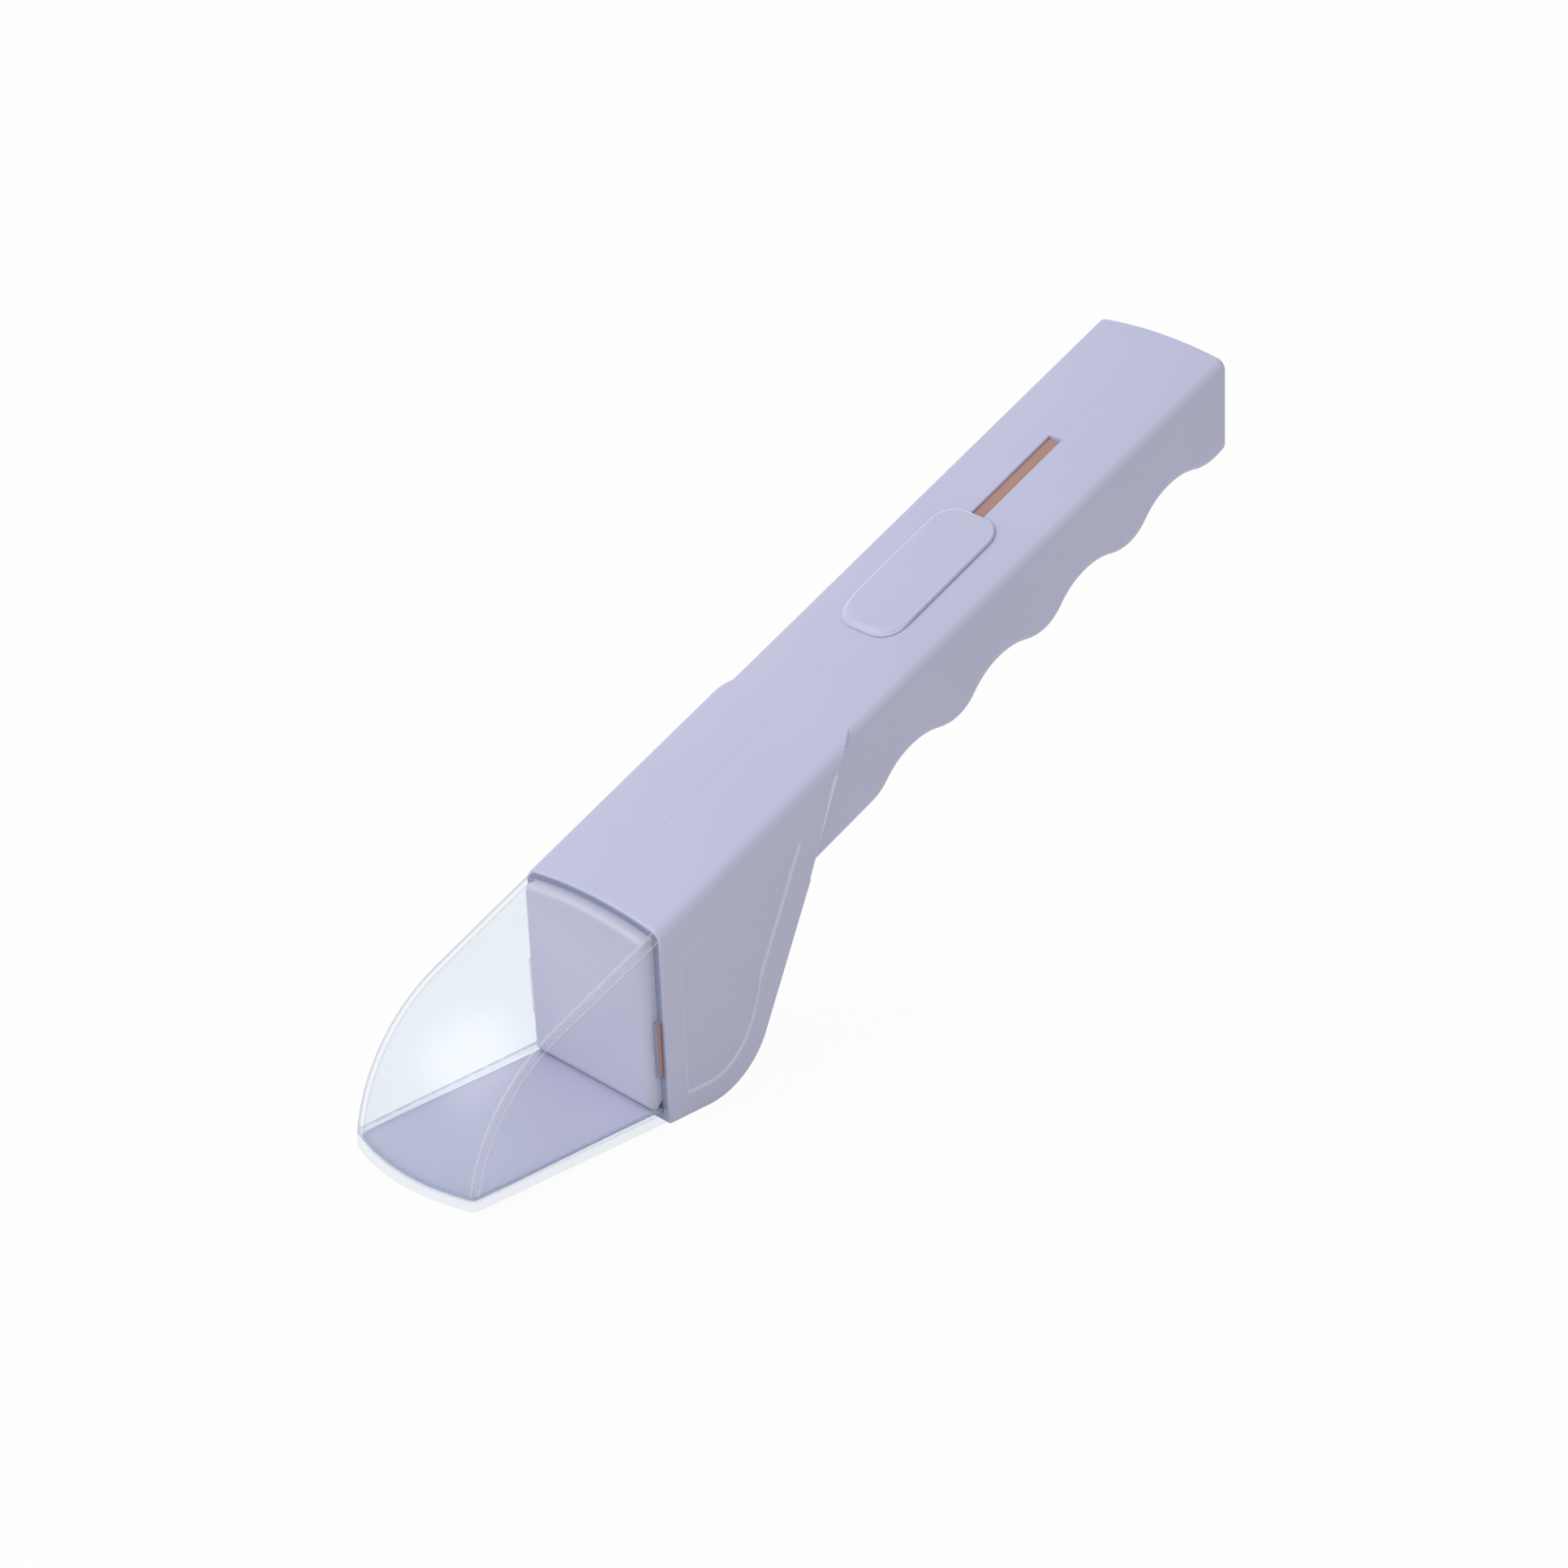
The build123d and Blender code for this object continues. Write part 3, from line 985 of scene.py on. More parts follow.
    @property
    def grip_end(self) -> float:
        """Place of the end wall on the top line."""
        return self.groove_first + (self.groove_count - 1) * self.groove_pitch + self.butt_length

    def behind_end(self, points: Array) -> Array:
        """Distances of points in X and Z from the end wall, measured along X."""
        top = self.layout.place(self.grip_end, 0.0)
        return top[0] - points[..., 0] - (points[..., 1] - top[1]) * np.tan(self.end_lean)

    @staticmethod
    def heading(start: tuple[float, float], end: tuple[float, float]) -> float:
        """Angle of the line from one point to another."""
        return float(np.arctan2(end[1] - start[1], end[0] - start[0]))

    def body_stations(self) -> Stations:
        """Sections from the joint to the step at the back wall, with a rounded edge at both ends.

        Returns:
            The sections.
        """
        layout = self.layout
        outline = self.belly_outline()
        length = outline.length
        floor_end, belly_end = outline.ends[:2]
        turn = quarter(EDGE_STEPS)
        front = self.front_edge * (1.0 - np.cos(turn))
        rear = length - self.step_edge * (1.0 - np.sin(turn))
        lip = self.panel_front + self.panel_lip * even(self.lip_columns)
        spread = np.linspace(self.front_edge, length - self.step_edge, self.body_rows)
        close = rear[0] - self.step_edge * np.arange(1, self.near_rows + 1)
        s = np.unique(np.concatenate((front, lip, spread, close, rear)))
        lip_u = lip[-1] * np.cos(layout.lean) / np.cos(layout.slope - layout.lean)
        u = np.interp(s, (0.0, lip[-1], length), (0.0, lip_u, self.step_u))
        foot, normal = outline.at(s)
        over = np.clip(s - length + self.step_edge, 0.0, self.step_edge)
        half = layout.half_width - self.step_edge + np.sqrt(self.step_edge**2 - over**2)
        edge = np.full_like(s, self.belly_edge)
        inset = lerp(self.panel_floor, self.panel_back, ease((s - floor_end) / (belly_end - floor_end)))
        rows = self.stations(u, foot, normal, half, edge, inset)
        ahead = np.clip(self.front_edge - s, 0.0, self.front_edge)
        rows.inset = self.front_edge - np.sqrt(self.front_edge**2 - ahead**2)
        step = rows.take(np.array((-1,)))
        step.half = np.array((self.grip_half,))
        return rows.join(step)

    def grip_stations(self) -> Stations:
        """Sections from the step to the rounded end, with two at each end of the slot.

        Returns:
            The sections.
        """
        layout = self.layout
        outline = self.grip_outline()
        search = 3.0 * self.butt_radius
        probe = np.linspace(outline.length - search, outline.length, self.probe_rows)
        spare = self.behind_end(layout.place(*outline.at(probe)[0].T))
        length = np.interp(-self.end_edge, -spare, probe)
        fall = layout.slope - self.end_lean
        last_u = self.grip_end - self.end_edge * np.cos(self.end_lean) / np.cos(fall)
        slot_s = np.interp((self.slot_front, self.slot_back), (self.step_u, last_u), (0.0, length))
        swept = np.linspace(0.0, 2.0 * self.step_sweep, self.sweep_rows)[1:-1]
        s = np.sort(np.concatenate((np.linspace(0.0, length, self.grip_rows), swept, slot_s, slot_s)))
        u = np.interp(s, (0.0, length), (self.step_u, last_u))
        points, normals = outline.at(s)
        foot = layout.place(*points.T)
        normal = normals[:, :1] * layout.along + normals[:, 1:] * layout.above
        level = np.clip((length - s) / (self.end_blend * self.butt_radius), 0.0, 1.0)
        normal = unit(normal * np.stack((level, np.ones_like(s)), axis=-1))
        half = np.full_like(s, self.grip_half)
        edge = np.full_like(s, self.grip_edge)
        rows = self.stations(u, foot, normal, half, edge, np.full_like(s, np.inf))
        opening = slice(np.searchsorted(s, slot_s[0]) + 1, np.searchsorted(s, slot_s[1]) + 1)
        rows.slot[opening] = True
        return rows

    def stations(
        self, u: Array, foot: Array, normal: Array, half: Array, edge: Array, panel_inset: Array
    ) -> Stations:
        """Fill in what follows from the place along the top line.

        Args:
            u: Places along the top line.
            foot: Points of the underside, in X and Z.
            normal: Outward normals there.
            half: Half of the width at the flanks.
            edge: Radius of the underside's edges.
            panel_inset: Distance of the side panel from the underside, endless where there is no panel.

        Returns:
            The sections.
        """
        layout = self.layout
        tilt = lerp(layout.lean, self.end_lean, u / self.grip_end)
        none = np.zeros_like(u)
        return Stations(
            top=layout.place(u, none),
            foot=foot,
            normal=normal,
            half=half,
            edge=edge,
            skew=np.tan(layout.slope - tilt),
            slot=np.zeros(len(u), dtype=bool),
            panel_inset=panel_inset,
            inset=none,
            shift=none,
            squeeze=none,
        )

    def with_end(self, rows: Stations) -> Stations:
        """Add the rounded edge of the end wall, then rows that close it towards the seam.

        Args:
            rows: Sections up to the end.

        Returns:
            The sections with the end wall.
        """
        turn = quarter(EDGE_STEPS)[1:]
        edge = rows.take(np.full(len(turn), -1))
        edge.inset = self.end_edge * (1.0 - np.cos(turn))
        edge.shift = self.end_edge * np.sin(turn)
        close = edge.take(np.full(len(turn), -1))
        close.squeeze = even(EDGE_STEPS)[1:]
        return rows.join(edge).join(close)

    def skin(self, rows: Stations, deep: float) -> tuple[Array, Array]:
        """Surface of a shell: in each section crown, shoulder, flank with panel, hem and underside.

        Args:
            rows: Sections.
            deep: Depth under the outer surface.

        Returns:
            Points of shape (sections, columns, 3), with Y positive, and the light lines of shape
            (sections, columns).
        """
        inset = (rows.inset + deep)[:, None]
        down = np.append(np.zeros(self.arc_columns), even(self.shoulder_columns))
        narrow = self.narrow(rows, down)
        roof, roof_y = self.roof(rows, inset, narrow)
        flank, flank_y, lip_light = self.flank(rows, roof[:, -1], roof_y[:, -1:], inset)
        lower, lower_y = self.hem(rows, inset)
        plane = np.concatenate((roof, flank, lower), axis=1)
        top = roof_y.shape[1]
        side = top + flank_y.shape[1]
        lit = slice(top, side + self.hem_columns - 1)
        light = np.zeros(plane.shape[:2])
        # Painted highlight along the shoulder where the body steps in to the grip.
        light[:, top - len(down):top] = self.step_shine * down * hump(narrow)
        light[:, lit] = self.step_light(rows, plane[:, lit])
        light[:, top:side] += lip_light
        y = np.concatenate((roof_y, flank_y, lower_y), axis=1) * (1.0 - rows.squeeze[:, None])
        x = plane[..., 0] + np.minimum(rows.shift[:, None], self.behind_end(plane) - deep)
        return np.stack((x, y, plane[..., 1]), axis=-1), light

    def roof(self, rows: Stations, inset: Array, narrow: Array) -> tuple[Array, Array]:
        """Top from the middle to the end of the shoulder: seam or slot, then crown and shoulder.

        Crown and shoulder are a mix of the body's curve and the grip's.

        Args:
            rows: Sections.
            inset: Depth under the outer surface, of shape (sections, 1).
            narrow: Share of the grip's curve.

        Returns:
            Points in X and Z of shape (sections, columns, 2), and Y of shape (sections, columns).
        """
        layout = self.layout
        body = self.crown(inset, layout.half_width, self.body_shoulder)
        grip = self.crown(inset, self.grip_half, self.grip_shoulder)
        crown_y, crown_h = (lerp(*pair, narrow) for pair in zip(body, grip))
        radius = layout.crown_radius - inset
        closed_y = np.array((0.0, self.seam, self.slot_half))
        middle_y = np.where(rows.slot[:, None], self.slot_half, closed_y)
        middle_h = layout.crown - inset - radius + np.sqrt(radius**2 - middle_y**2)
        middle_h[:, 0] -= self.seam * ~rows.slot
        middle_h -= self.slot_bevel * rows.slot[:, None]
        h = np.concatenate((middle_h, crown_h), axis=1)
        upward = layout.above + rows.skew[:, None] * layout.along
        points = rows.top[:, None] + h[..., None] * upward[:, None]
        return points, np.concatenate((middle_y, crown_y), axis=1)

    def hem(self, rows: Stations, inset: Array) -> tuple[Array, Array]:
        """Round lower edge, a quarter turn, and the underside in to the seam.

        Args:
            rows: Sections.
            inset: Depth under the outer surface, of shape (sections, 1).

        Returns:
            Points in X and Z of shape (sections, columns, 2), and Y of shape (sections, columns).
        """
        edge = np.maximum(rows.edge[:, None] - inset, self.least_edge)
        turn = quarter(self.hem_columns)[1:]
        hem_y = rows.half[:, None] - inset - edge * (1.0 - np.cos(turn))
        hem_in = inset + edge * (1.0 - np.sin(turn))
        under_y = lerp(hem_y[:, -1:], self.seam, even(EDGE_STEPS)[1:])
        under_y = np.concatenate((under_y, np.zeros_like(under_y[:, :1])), axis=1)
        under_in = np.broadcast_to(inset, under_y.shape).copy()
        under_in[:, -1] += self.seam
        lower_in = np.concatenate((hem_in, under_in), axis=1)
        points = rows.foot[:, None] - lower_in[..., None] * rows.normal[:, None]
        return points, np.concatenate((hem_y, under_y), axis=1)

    def crown(self, inset: Array, half: float, shoulder: float) -> tuple[Array, Array]:
        """Crown beside the slot and shoulder, for every section.

        Args:
            inset: Depth under the outer surface, of shape (sections, 1).
            half: Half of the width.
            shoulder: Radius of the shoulder.

        Returns:
            Distances from the middle and heights, each of shape (sections, columns).
        """
        radius = self.layout.crown_radius - inset
        bend = np.maximum(shoulder - inset, self.least_shoulder)
        lean = np.arcsin((half - inset - bend) / (radius - bend))
        rim = (self.slot_half + self.slot_bevel) / (radius * np.sin(lean))
        across = lerp(rim, 1.0, even(self.arc_columns + 1)[:-1])
        steps = even(self.shoulder_columns)
        return crown_curve(self.layout.crown - inset, radius, half - inset, bend, across, steps)

    def narrow(self, rows: Stations, down: Array) -> Array:
        """Share by which a section has gone over from the body's width to the grip's.

        It is a smooth step of the place along the top line. The step sweeps back over the shoulder and gets
        longer towards the top.

        Args:
            rows: Sections.
            down: Places on the shoulder, 0 at the top and 1 at the flank.

        Returns:
            Shares of shape (sections, places).
        """
        u = (rows.top - self.layout.joint_top) @ self.layout.along
        past = u[:, None] - self.step_u - self.step_sweep * (1.0 - down)
        return ease(past / lerp(self.step_blend, self.step_edge, down) + 0.5)

    def step_light(self, rows: Stations, plane: Array) -> Array:
        """Painted highlight line on the body's flank just ahead of the step, down to the grip's underside.

        It grows with nearness to the step, over the width of one edge, and is 0 under the grip's underside.

        Args:
            rows: Sections.
            plane: Points in X and Z of shape (sections, columns, 2).

        Returns:
            Strength of the line, of shape (sections, columns).
        """
        outward = np.array((np.sin(self.step), -np.cos(self.step)))
        ahead = (self.on_back_wall(self.grip_depth) - plane) @ outward
        near = np.clip((self.step_line - ahead) / self.step_edge + 0.5, 0.0, 1.0)
        high = np.clip((self.grip_depth - self.layout.depth(plane)) / self.step_edge, 0.0, 1.0)
        return self.step_shine * near * high * (rows.half > self.grip_half)[:, None]

    def flank(
        self, rows: Stations, start: Array, start_y: Array, inset: Array
    ) -> tuple[Array, Array, Array]:
        """Side wall from the shoulder's end to the hem, with a sunk panel.

        The panel's depth is a smooth step of the distance inside its border, which is the least of the
        distances from its front line, its top line and its lower line. The light line on its lip is
        strongest half-way down that step.

        Args:
            rows: Sections.
            start: Ends of the shoulder, in X and Z.
            start_y: Y of these ends, of shape (sections, 1).
            inset: Depth under the outer surface, of shape (sections, 1).

        Returns:
            Points in X and Z of shape (sections, columns, 2), then Y and the light line of shape
            (sections, columns).
        """
        layout = self.layout
        room = inset + np.maximum(rows.edge[:, None] - inset, self.least_edge)
        end = rows.foot - room * rows.normal
        share = self.flank_columns(rows, start, end, room)
        plane = lerp(start[:, None], end[:, None], share[..., None])
        x, z = plane[..., 0], plane[..., 1]
        ahead = (x - layout.joint_foot) * np.cos(layout.lean) + z * np.sin(layout.lean)
        under = layout.depth(plane) - self.panel_drop
        within = np.sum((rows.foot[:, None] - plane) * rows.normal[:, None], axis=-1)
        within -= rows.panel_inset[:, None]
        border = np.minimum(np.minimum(ahead - self.panel_front, under), within)
        length = np.linalg.norm(plane - start[:, None], axis=-1)
        sunk = self.panel_depth * ease(border / self.panel_lip)
        y = lerp(start_y, rows.half[:, None] - inset, ease(length / self.step_edge)) - sunk
        # Painted highlight: the lip's line is a lighter colour where the lip would catch the light, fainter
        # on the front and top lips.
        strength = np.where(border < within, self.panel_faint, self.panel_shine)
        return plane, y, strength * hump(np.clip(border / self.panel_lip, 0.0, 1.0))

    def flank_columns(self, rows: Stations, start: Array, end: Array, room: Array) -> Array:
        """Places of the flank's columns as shares of the way down, close together on the panel's lips.

        Args:
            rows: Sections.
            start: Ends of the shoulder, in X and Z.
            end: Upper ends of the hem, in X and Z.
            room: Distance of the hem from the underside, of shape (sections, 1).

        Returns:
            Shares of shape (sections, columns).
        """
        depth = self.layout.depth
        panel_inset = rows.panel_inset[:, None]
        steps = self.panel_lip * even(self.lip_columns)
        fall = depth(start)[:, None]
        high = (self.panel_drop + steps - fall) / (depth(end)[:, None] - fall)
        reach = np.sum((rows.foot - start) * rows.normal, axis=-1)[:, None]
        spare = np.maximum(reach - panel_inset - steps[::-1], 0.0)
        low = spare / np.maximum(reach - room, self.least_reach)
        none = np.isinf(panel_inset)
        high = np.clip(np.where(none, self.plain_shares[0], high), 0.0, 1.0)
        low = np.clip(np.where(none, self.plain_shares[1], low), 0.0, 1.0)
        middle = (high[:, -1:] + low[:, :1]) / 2
        high = np.minimum(high, middle)
        low = np.maximum(low, middle)
        upper = high[:, :1] * even(EDGE_STEPS)[1:-1]
        field = lerp(high[:, -1:], low[:, :1], even(self.field_columns)[1:-1])
        rest = lerp(low[:, -1:], 1.0, even(EDGE_STEPS)[1:])
        return np.concatenate((upper, high, field, low, rest), axis=1)

    def build(self, finishes: Finishes) -> None:
        """Make both shells, each a wall between the skin and the same skin one wall deeper.

        Args:
            finishes: Materials of the catcher.
        """
        rows = self.with_end(self.body_stations().join(self.grip_stations()))
        outer, light = self.skin(rows, 0.0)
        inner, _ = self.skin(rows, self.wall)
        points, faces = walled(outer, inner)
        # The edge mark carries the painted highlight lines, on the outer skin only.
        marks = {"edge": np.stack((light, np.zeros_like(light)))}
        for side in Side:
            label = side.name.lower()
            turned = points * (1.0, side.value, 1.0)
            shell = make_piece(f"housing_shell_{label}", turned, faces, marks)
            settle(shell, Carrier.HOUSING, Slot.BODY, finishes.body, f"housing_{label}")


@dataclass
class CaptureChamber:
    """Clear hood that bends down into a bowed nose, and the grooved rim under it."""

    layout: Layout
    wall: float = 0.8
    hood_wall: float = 1.2
    joint_gap: float = 0.12
    shoulder: float = 2.0
    nose_half: float = 17.5
    nose_x: float = 36.0
    nose_radius: float = 36.0
    bow: float = 3.5
    rim_height: float = 3.5
    rim_floor: float = 0.5
    rim_corner: float = 2.4
    line: float = 0.2
    notch_floor: float = 11.0
    notch_top: float = 23.7
    notch_depth: float = 1.7
    side_line: float = 0.7
    # Faint grey-blue shade painted over the whole rim.
    rim_veil: float = 0.03
    lip: float = 0.5
    lip_floor: float = 3.0
    ledge: float = 1.6
    ledge_top: float = 2.0
    foot_line: float = 0.85
    rim_lines: tuple[float, ...] = (0.3, 0.0, 0.35, 0.0, 0.0, 0.55, 0.2, 0.1)
    level_from: float = float(np.radians(150.0))
    least_shoulder: float = 0.3
    least_corner: float = 0.25
    roof_rows: int = 30
    nose_rows: int = 44
    side_rows: int = 12
    arc_columns: int = 14
    upper_columns: int = 6
    notch_columns: int = 5
    lower_columns: int = 5

    @property
    def nose_z(self) -> float:
        """Height of the axis that the roof bends down round: one radius under the roof line.

        Returns:
            The height.
        """
        layout = self.layout
        back = layout.joint_top[0] - self.nose_x
        fall = (self.nose_radius + back * np.sin(layout.slope)) / np.cos(layout.slope)
        return float(layout.joint_height - fall)

    @property
    def roof(self) -> float:
        """Length of the straight roof."""
        return float((self.layout.joint_top - (self.nose_x, self.nose_z)) @ self.layout.along)

    @property
    def bow_radius(self) -> float:
        """Radius of the nose in plan."""
        return (self.nose_half**2 + self.bow**2) / (2.0 * self.bow)

    @property
    def across(self) -> Array:
        """Places on the crown's arc, from the middle to just before the shoulder."""
        return even(self.arc_columns + 1)[:-1]

    @property
    def bend(self) -> Array:
        """Places on the shoulder."""
        return even(BEND_STEPS)

    def spine(self) -> tuple[Array, Array, Array, int]:
        """Line that the hood's sections are carried along: straight down the roof, then round the nose.

        Returns:
            Points and upward directions in X and Z, the share of the straight roof that is behind each, and
            the number of sections that the notch cuts.
        """
        layout = self.layout
        places = (self.joint_gap + self.line, self.notch_depth)
        run = np.unique(np.append(np.linspace(self.joint_gap, self.roof, self.roof_rows), places))
        last = np.pi - np.arcsin((self.rim_height - self.nose_z) / self.nose_radius)
        near_last = last - self.line / self.nose_radius
        angle = np.append(np.linspace(np.pi / 2 + layout.slope, near_last, self.nose_rows)[1:], last)
        ray = np.stack((np.cos(angle), np.sin(angle)), axis=-1)
        nose = np.array((self.nose_x, self.nose_z)) + self.nose_radius * ray
        path = np.concatenate((layout.place(-run, np.zeros_like(run)), nose))
        bent = lerp(angle, np.pi, ease((angle - self.level_from) / (last - self.level_from)))
        skew = np.tan(layout.slope - layout.lean) * (1.0 - run / self.roof)
        upward = np.concatenate((
            layout.above + skew[:, None] * layout.along,
            np.stack((np.cos(bent), np.sin(bent)), axis=-1),
        ))
        grown = np.concatenate((run / self.roof, np.ones_like(angle)))
        return path, upward, grown, int(np.searchsorted(run, self.notch_depth))

    def hood_skin(self, deep: float) -> Array:
        """Half of the hood: crowned sections carried along the spine, each with a straight flank.

        The crown grows from the housing's to the bow of the nose along the roof.

        Args:
            deep: Depth under the outer surface.

        Returns:
            Points of shape (sections, columns, 3), with Y positive.
        """
        layout = self.layout
        path, upward, grown, notched = self.spine()
        rise = lerp(layout.crown, self.bow, 0.5 * (grown + ease(grown)))[:, None]
        travel = np.append(0.0, np.cumsum(np.linalg.norm(np.diff(path, axis=0), axis=-1)))
        travel = travel / travel[-1]
        half = lerp(layout.hood_half, self.nose_half, travel)[:, None]
        radius = (half**2 + rise**2) / (2.0 * rise)
        half = half - deep
        shoulder = max(self.shoulder - deep, self.least_shoulder)
        y, h = crown_curve(rise - deep, radius - deep, half, shoulder, self.across, self.bend)
        roof = path[:, None] + h[..., None] * upward[:, None]
        flank = self.hood_flank(roof[:, -1], travel, notched)
        plane = np.concatenate((roof, flank), axis=1)
        y = np.concatenate((y, np.broadcast_to(half, flank.shape[:2])), axis=1)
        return np.stack((plane[..., 0], y, plane[..., 1]), axis=-1)

    def hood_flank(self, start: Array, travel: Array, notched: int) -> Array:
        """Straight flank from the shoulder's end down to the rim.

        The notch of the catch is cut by drawing the first sections back to the first one behind it.

        Args:
            start: Ends of the shoulder, in X and Z.
            travel: Shares of the spine's length.
            notched: Number of sections that the notch cuts.

        Returns:
            Points in X and Z of shape (sections, columns, 2).
        """
        layout = self.layout
        joint_x = layout.joint_foot - self.rim_height * np.tan(layout.lean) - self.joint_gap
        foot_x = lerp(joint_x, start[-1, 0], travel)
        foot = np.stack((foot_x, np.full_like(foot_x, self.rim_height)), axis=-1)
        top_z = start[0, 1]
        cut = (top_z - np.array((self.notch_top, self.notch_floor))) / (top_z - self.rim_height)
        shares = np.concatenate((
            np.linspace(0.0, cut[0], self.upper_columns + 1)[1:],
            np.linspace(cut[0], cut[1], self.notch_columns),
            np.linspace(cut[1], 1.0, self.lower_columns),
        ))
        shares = np.tile(shares, (len(start), 1))
        length = np.linalg.norm(foot - start, axis=-1)
        shares[:, -2] = np.maximum(1.0 - self.line / np.maximum(length, self.line), shares[:, -3])
        flank = lerp(start[:, None], foot[:, None], shares[..., None])
        notch = slice(self.upper_columns, self.upper_columns + self.notch_columns)
        flank[:notched, notch] = flank[notched, notch]
        return flank

    def hood_marks(self, shape: tuple[int, int], foot_line: float) -> dict[str, Array]:
        """Marks of half of the hood: round edges, the shine beside them, and cut edges; the edge and cut
        marks paint grey-blue shade.

        Args:
            shape: Numbers of sections and columns.
            foot_line: Strength of the line along the lower edge.

        Returns:
            Marks by their names, each of that shape.
        """
        marks = {label: np.zeros(shape) for label in ("edge", "shine", "cut")}
        over = self.arc_columns + BEND_STEPS
        marks["edge"][:, self.arc_columns:over] = np.sin(np.pi * self.bend) ** 2
        marks["shine"][:, [self.arc_columns + 1, over - 2]] = 1.0
        marks["cut"][-1] = foot_line
        marks["cut"][:, -1] = foot_line
        marks["cut"][0, :over] = 1.0
        marks["cut"][0, over:] = self.side_line
        return marks

    def rim_path(self, deep: float) -> Array:
        """Half of the rim's plan, in X and Y, from the middle of the nose to the joint.

        Args:
            deep: Distance inside the outline.

        Returns:
            Points of shape (n, 2).
        """
        corner = max(self.rim_corner - deep, self.least_corner)
        rise = self.bow - deep
        half = self.nose_half - deep
        y, h = crown_curve(rise, self.bow_radius - deep, half, corner, self.across, self.bend)
        foot = self.nose_radius**2 - (self.rim_height - self.nose_z) ** 2
        x = self.nose_x - np.sqrt(foot) - h[0]
        share = even(self.side_rows)[1:]
        side_x = lerp(x[-1], self.layout.joint_foot, share)
        side_y = lerp(self.nose_half, self.layout.hood_half, share) - deep
        return np.stack((np.append(x, side_x), np.append(y[0], side_y)), axis=-1)

    def rim(self) -> tuple[Array, Array, Array]:
        """Rim: a grooved profile of depth and height carried round the plan, open at the joint.

        Each corner of the profile has a point close to it on both sides, so that its line stays thin.

        Returns:
            Points, faces and the marks of cut edges, which paint grey-blue shade.
        """
        back = self.wall
        corners = np.array((
            (0.0, self.rim_floor), (0.0, self.rim_height),
            (back + self.lip, self.rim_height), (back + self.lip, self.lip_floor),
            (back, self.lip_floor), (back, self.ledge_top),
            (back + self.ledge, self.ledge_top), (back + self.ledge, self.rim_floor),
        ))
        ahead = unit(np.roll(corners, -1, axis=0) - corners)
        behind = unit(np.roll(corners, 1, axis=0) - corners)
        trio = (corners + self.line * behind, corners, corners + self.line * ahead)
        profile = np.stack(trio, axis=1).reshape(-1, 2)
        profile = np.concatenate((profile, profile[:1]))
        # Painted shade: a faint grey-blue over the whole rim, and stronger lines at some of the profile's
        # corners.
        marks = self.rim_veil + np.append(np.outer(self.rim_lines, (0.0, 1.0, 0.0)).ravel(), 0.0)
        halves = np.stack([self.rim_path(deep) for deep in profile[:, 0]])
        grid = np.concatenate((halves[:, ::-1], halves[:, 1:] * (1.0, -1.0)), axis=1)
        z = np.broadcast_to(profile[:, 1:], grid.shape[:2])
        limit = self.layout.joint_foot - self.joint_gap - z * np.tan(self.layout.lean)
        points = np.stack((np.minimum(grid[..., 0], limit), grid[..., 1], z), axis=-1)
        index = np.arange(points.shape[0] * points.shape[1]).reshape(points.shape[:2])
        return points.reshape(-1, 3), quads(index), np.repeat(marks, points.shape[1])

    def build(self, finishes: Finishes) -> None:
        """Make the hood and the rim.

        Args:
            finishes: Materials of the catcher.
        """
        skins = [self.hood_skin(deep) for deep in (0.0, self.hood_wall)]
        halves = [self.hood_marks(skins[0].shape[:2], strength) for strength in (self.foot_line, 0.0)]
        marks = {
            label: np.stack([both_halves(half[label]) for half in halves]) for label in halves[0]
        }
        skins = [both_halves(skin, MIRROR) for skin in skins]
        hood = make_piece("chamber_hood", *walled(*skins), marks)
        settle(hood, Carrier.HOUSING, Slot.CLEAR, finishes.clear, "capture_chamber")
        points, faces, lines = self.rim()
        rim = make_piece("chamber_rim", points, faces, {"cut": lines})
        settle(rim, Carrier.HOUSING, Slot.CLEAR, finishes.clear, "capture_chamber")


@dataclass
class CatchBars:
    """Slim copper bars in the clip notches of the hood, one on each flank."""

    layout: Layout
    thickness: float = 0.8
    middle: float = 17.95
    ahead: float = 0.75
    edge: float = 0.2

    def build(self, finishes: Finishes) -> None:
        """Make both bars: a rounded square carried up the joint's line, with soft ends.

        Args:
            finishes: Materials of the catcher.
        """
        low, high = (corner[2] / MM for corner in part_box("chamber_catches"))
        across, outward = rounded_loop(self.thickness, self.thickness, self.edge)
        sharp = 1.0 - self.edge / self.thickness
        shares = np.array((0.0, sharp, 1.0, 1.0, sharp, 0.0))[:, None]
        z = np.array((low, low, low + self.edge, high - self.edge, high, high))[:, None]
        x = self.layout.joint_foot - z * np.tan(self.layout.lean) - self.ahead + across * shares
        points, faces = wrapped(np.stack(np.broadcast_arrays(x, outward * shares, z), axis=-1))
        pair = [points + (0.0, side.value * self.middle, 0.0) for side in Side]
        both = np.concatenate((faces, faces + len(points)))
        bars = make_piece("catch_bars", np.concatenate(pair), both)
        settle(bars, Carrier.HOUSING, Slot.INNER, finishes.inner, "chamber_catches")


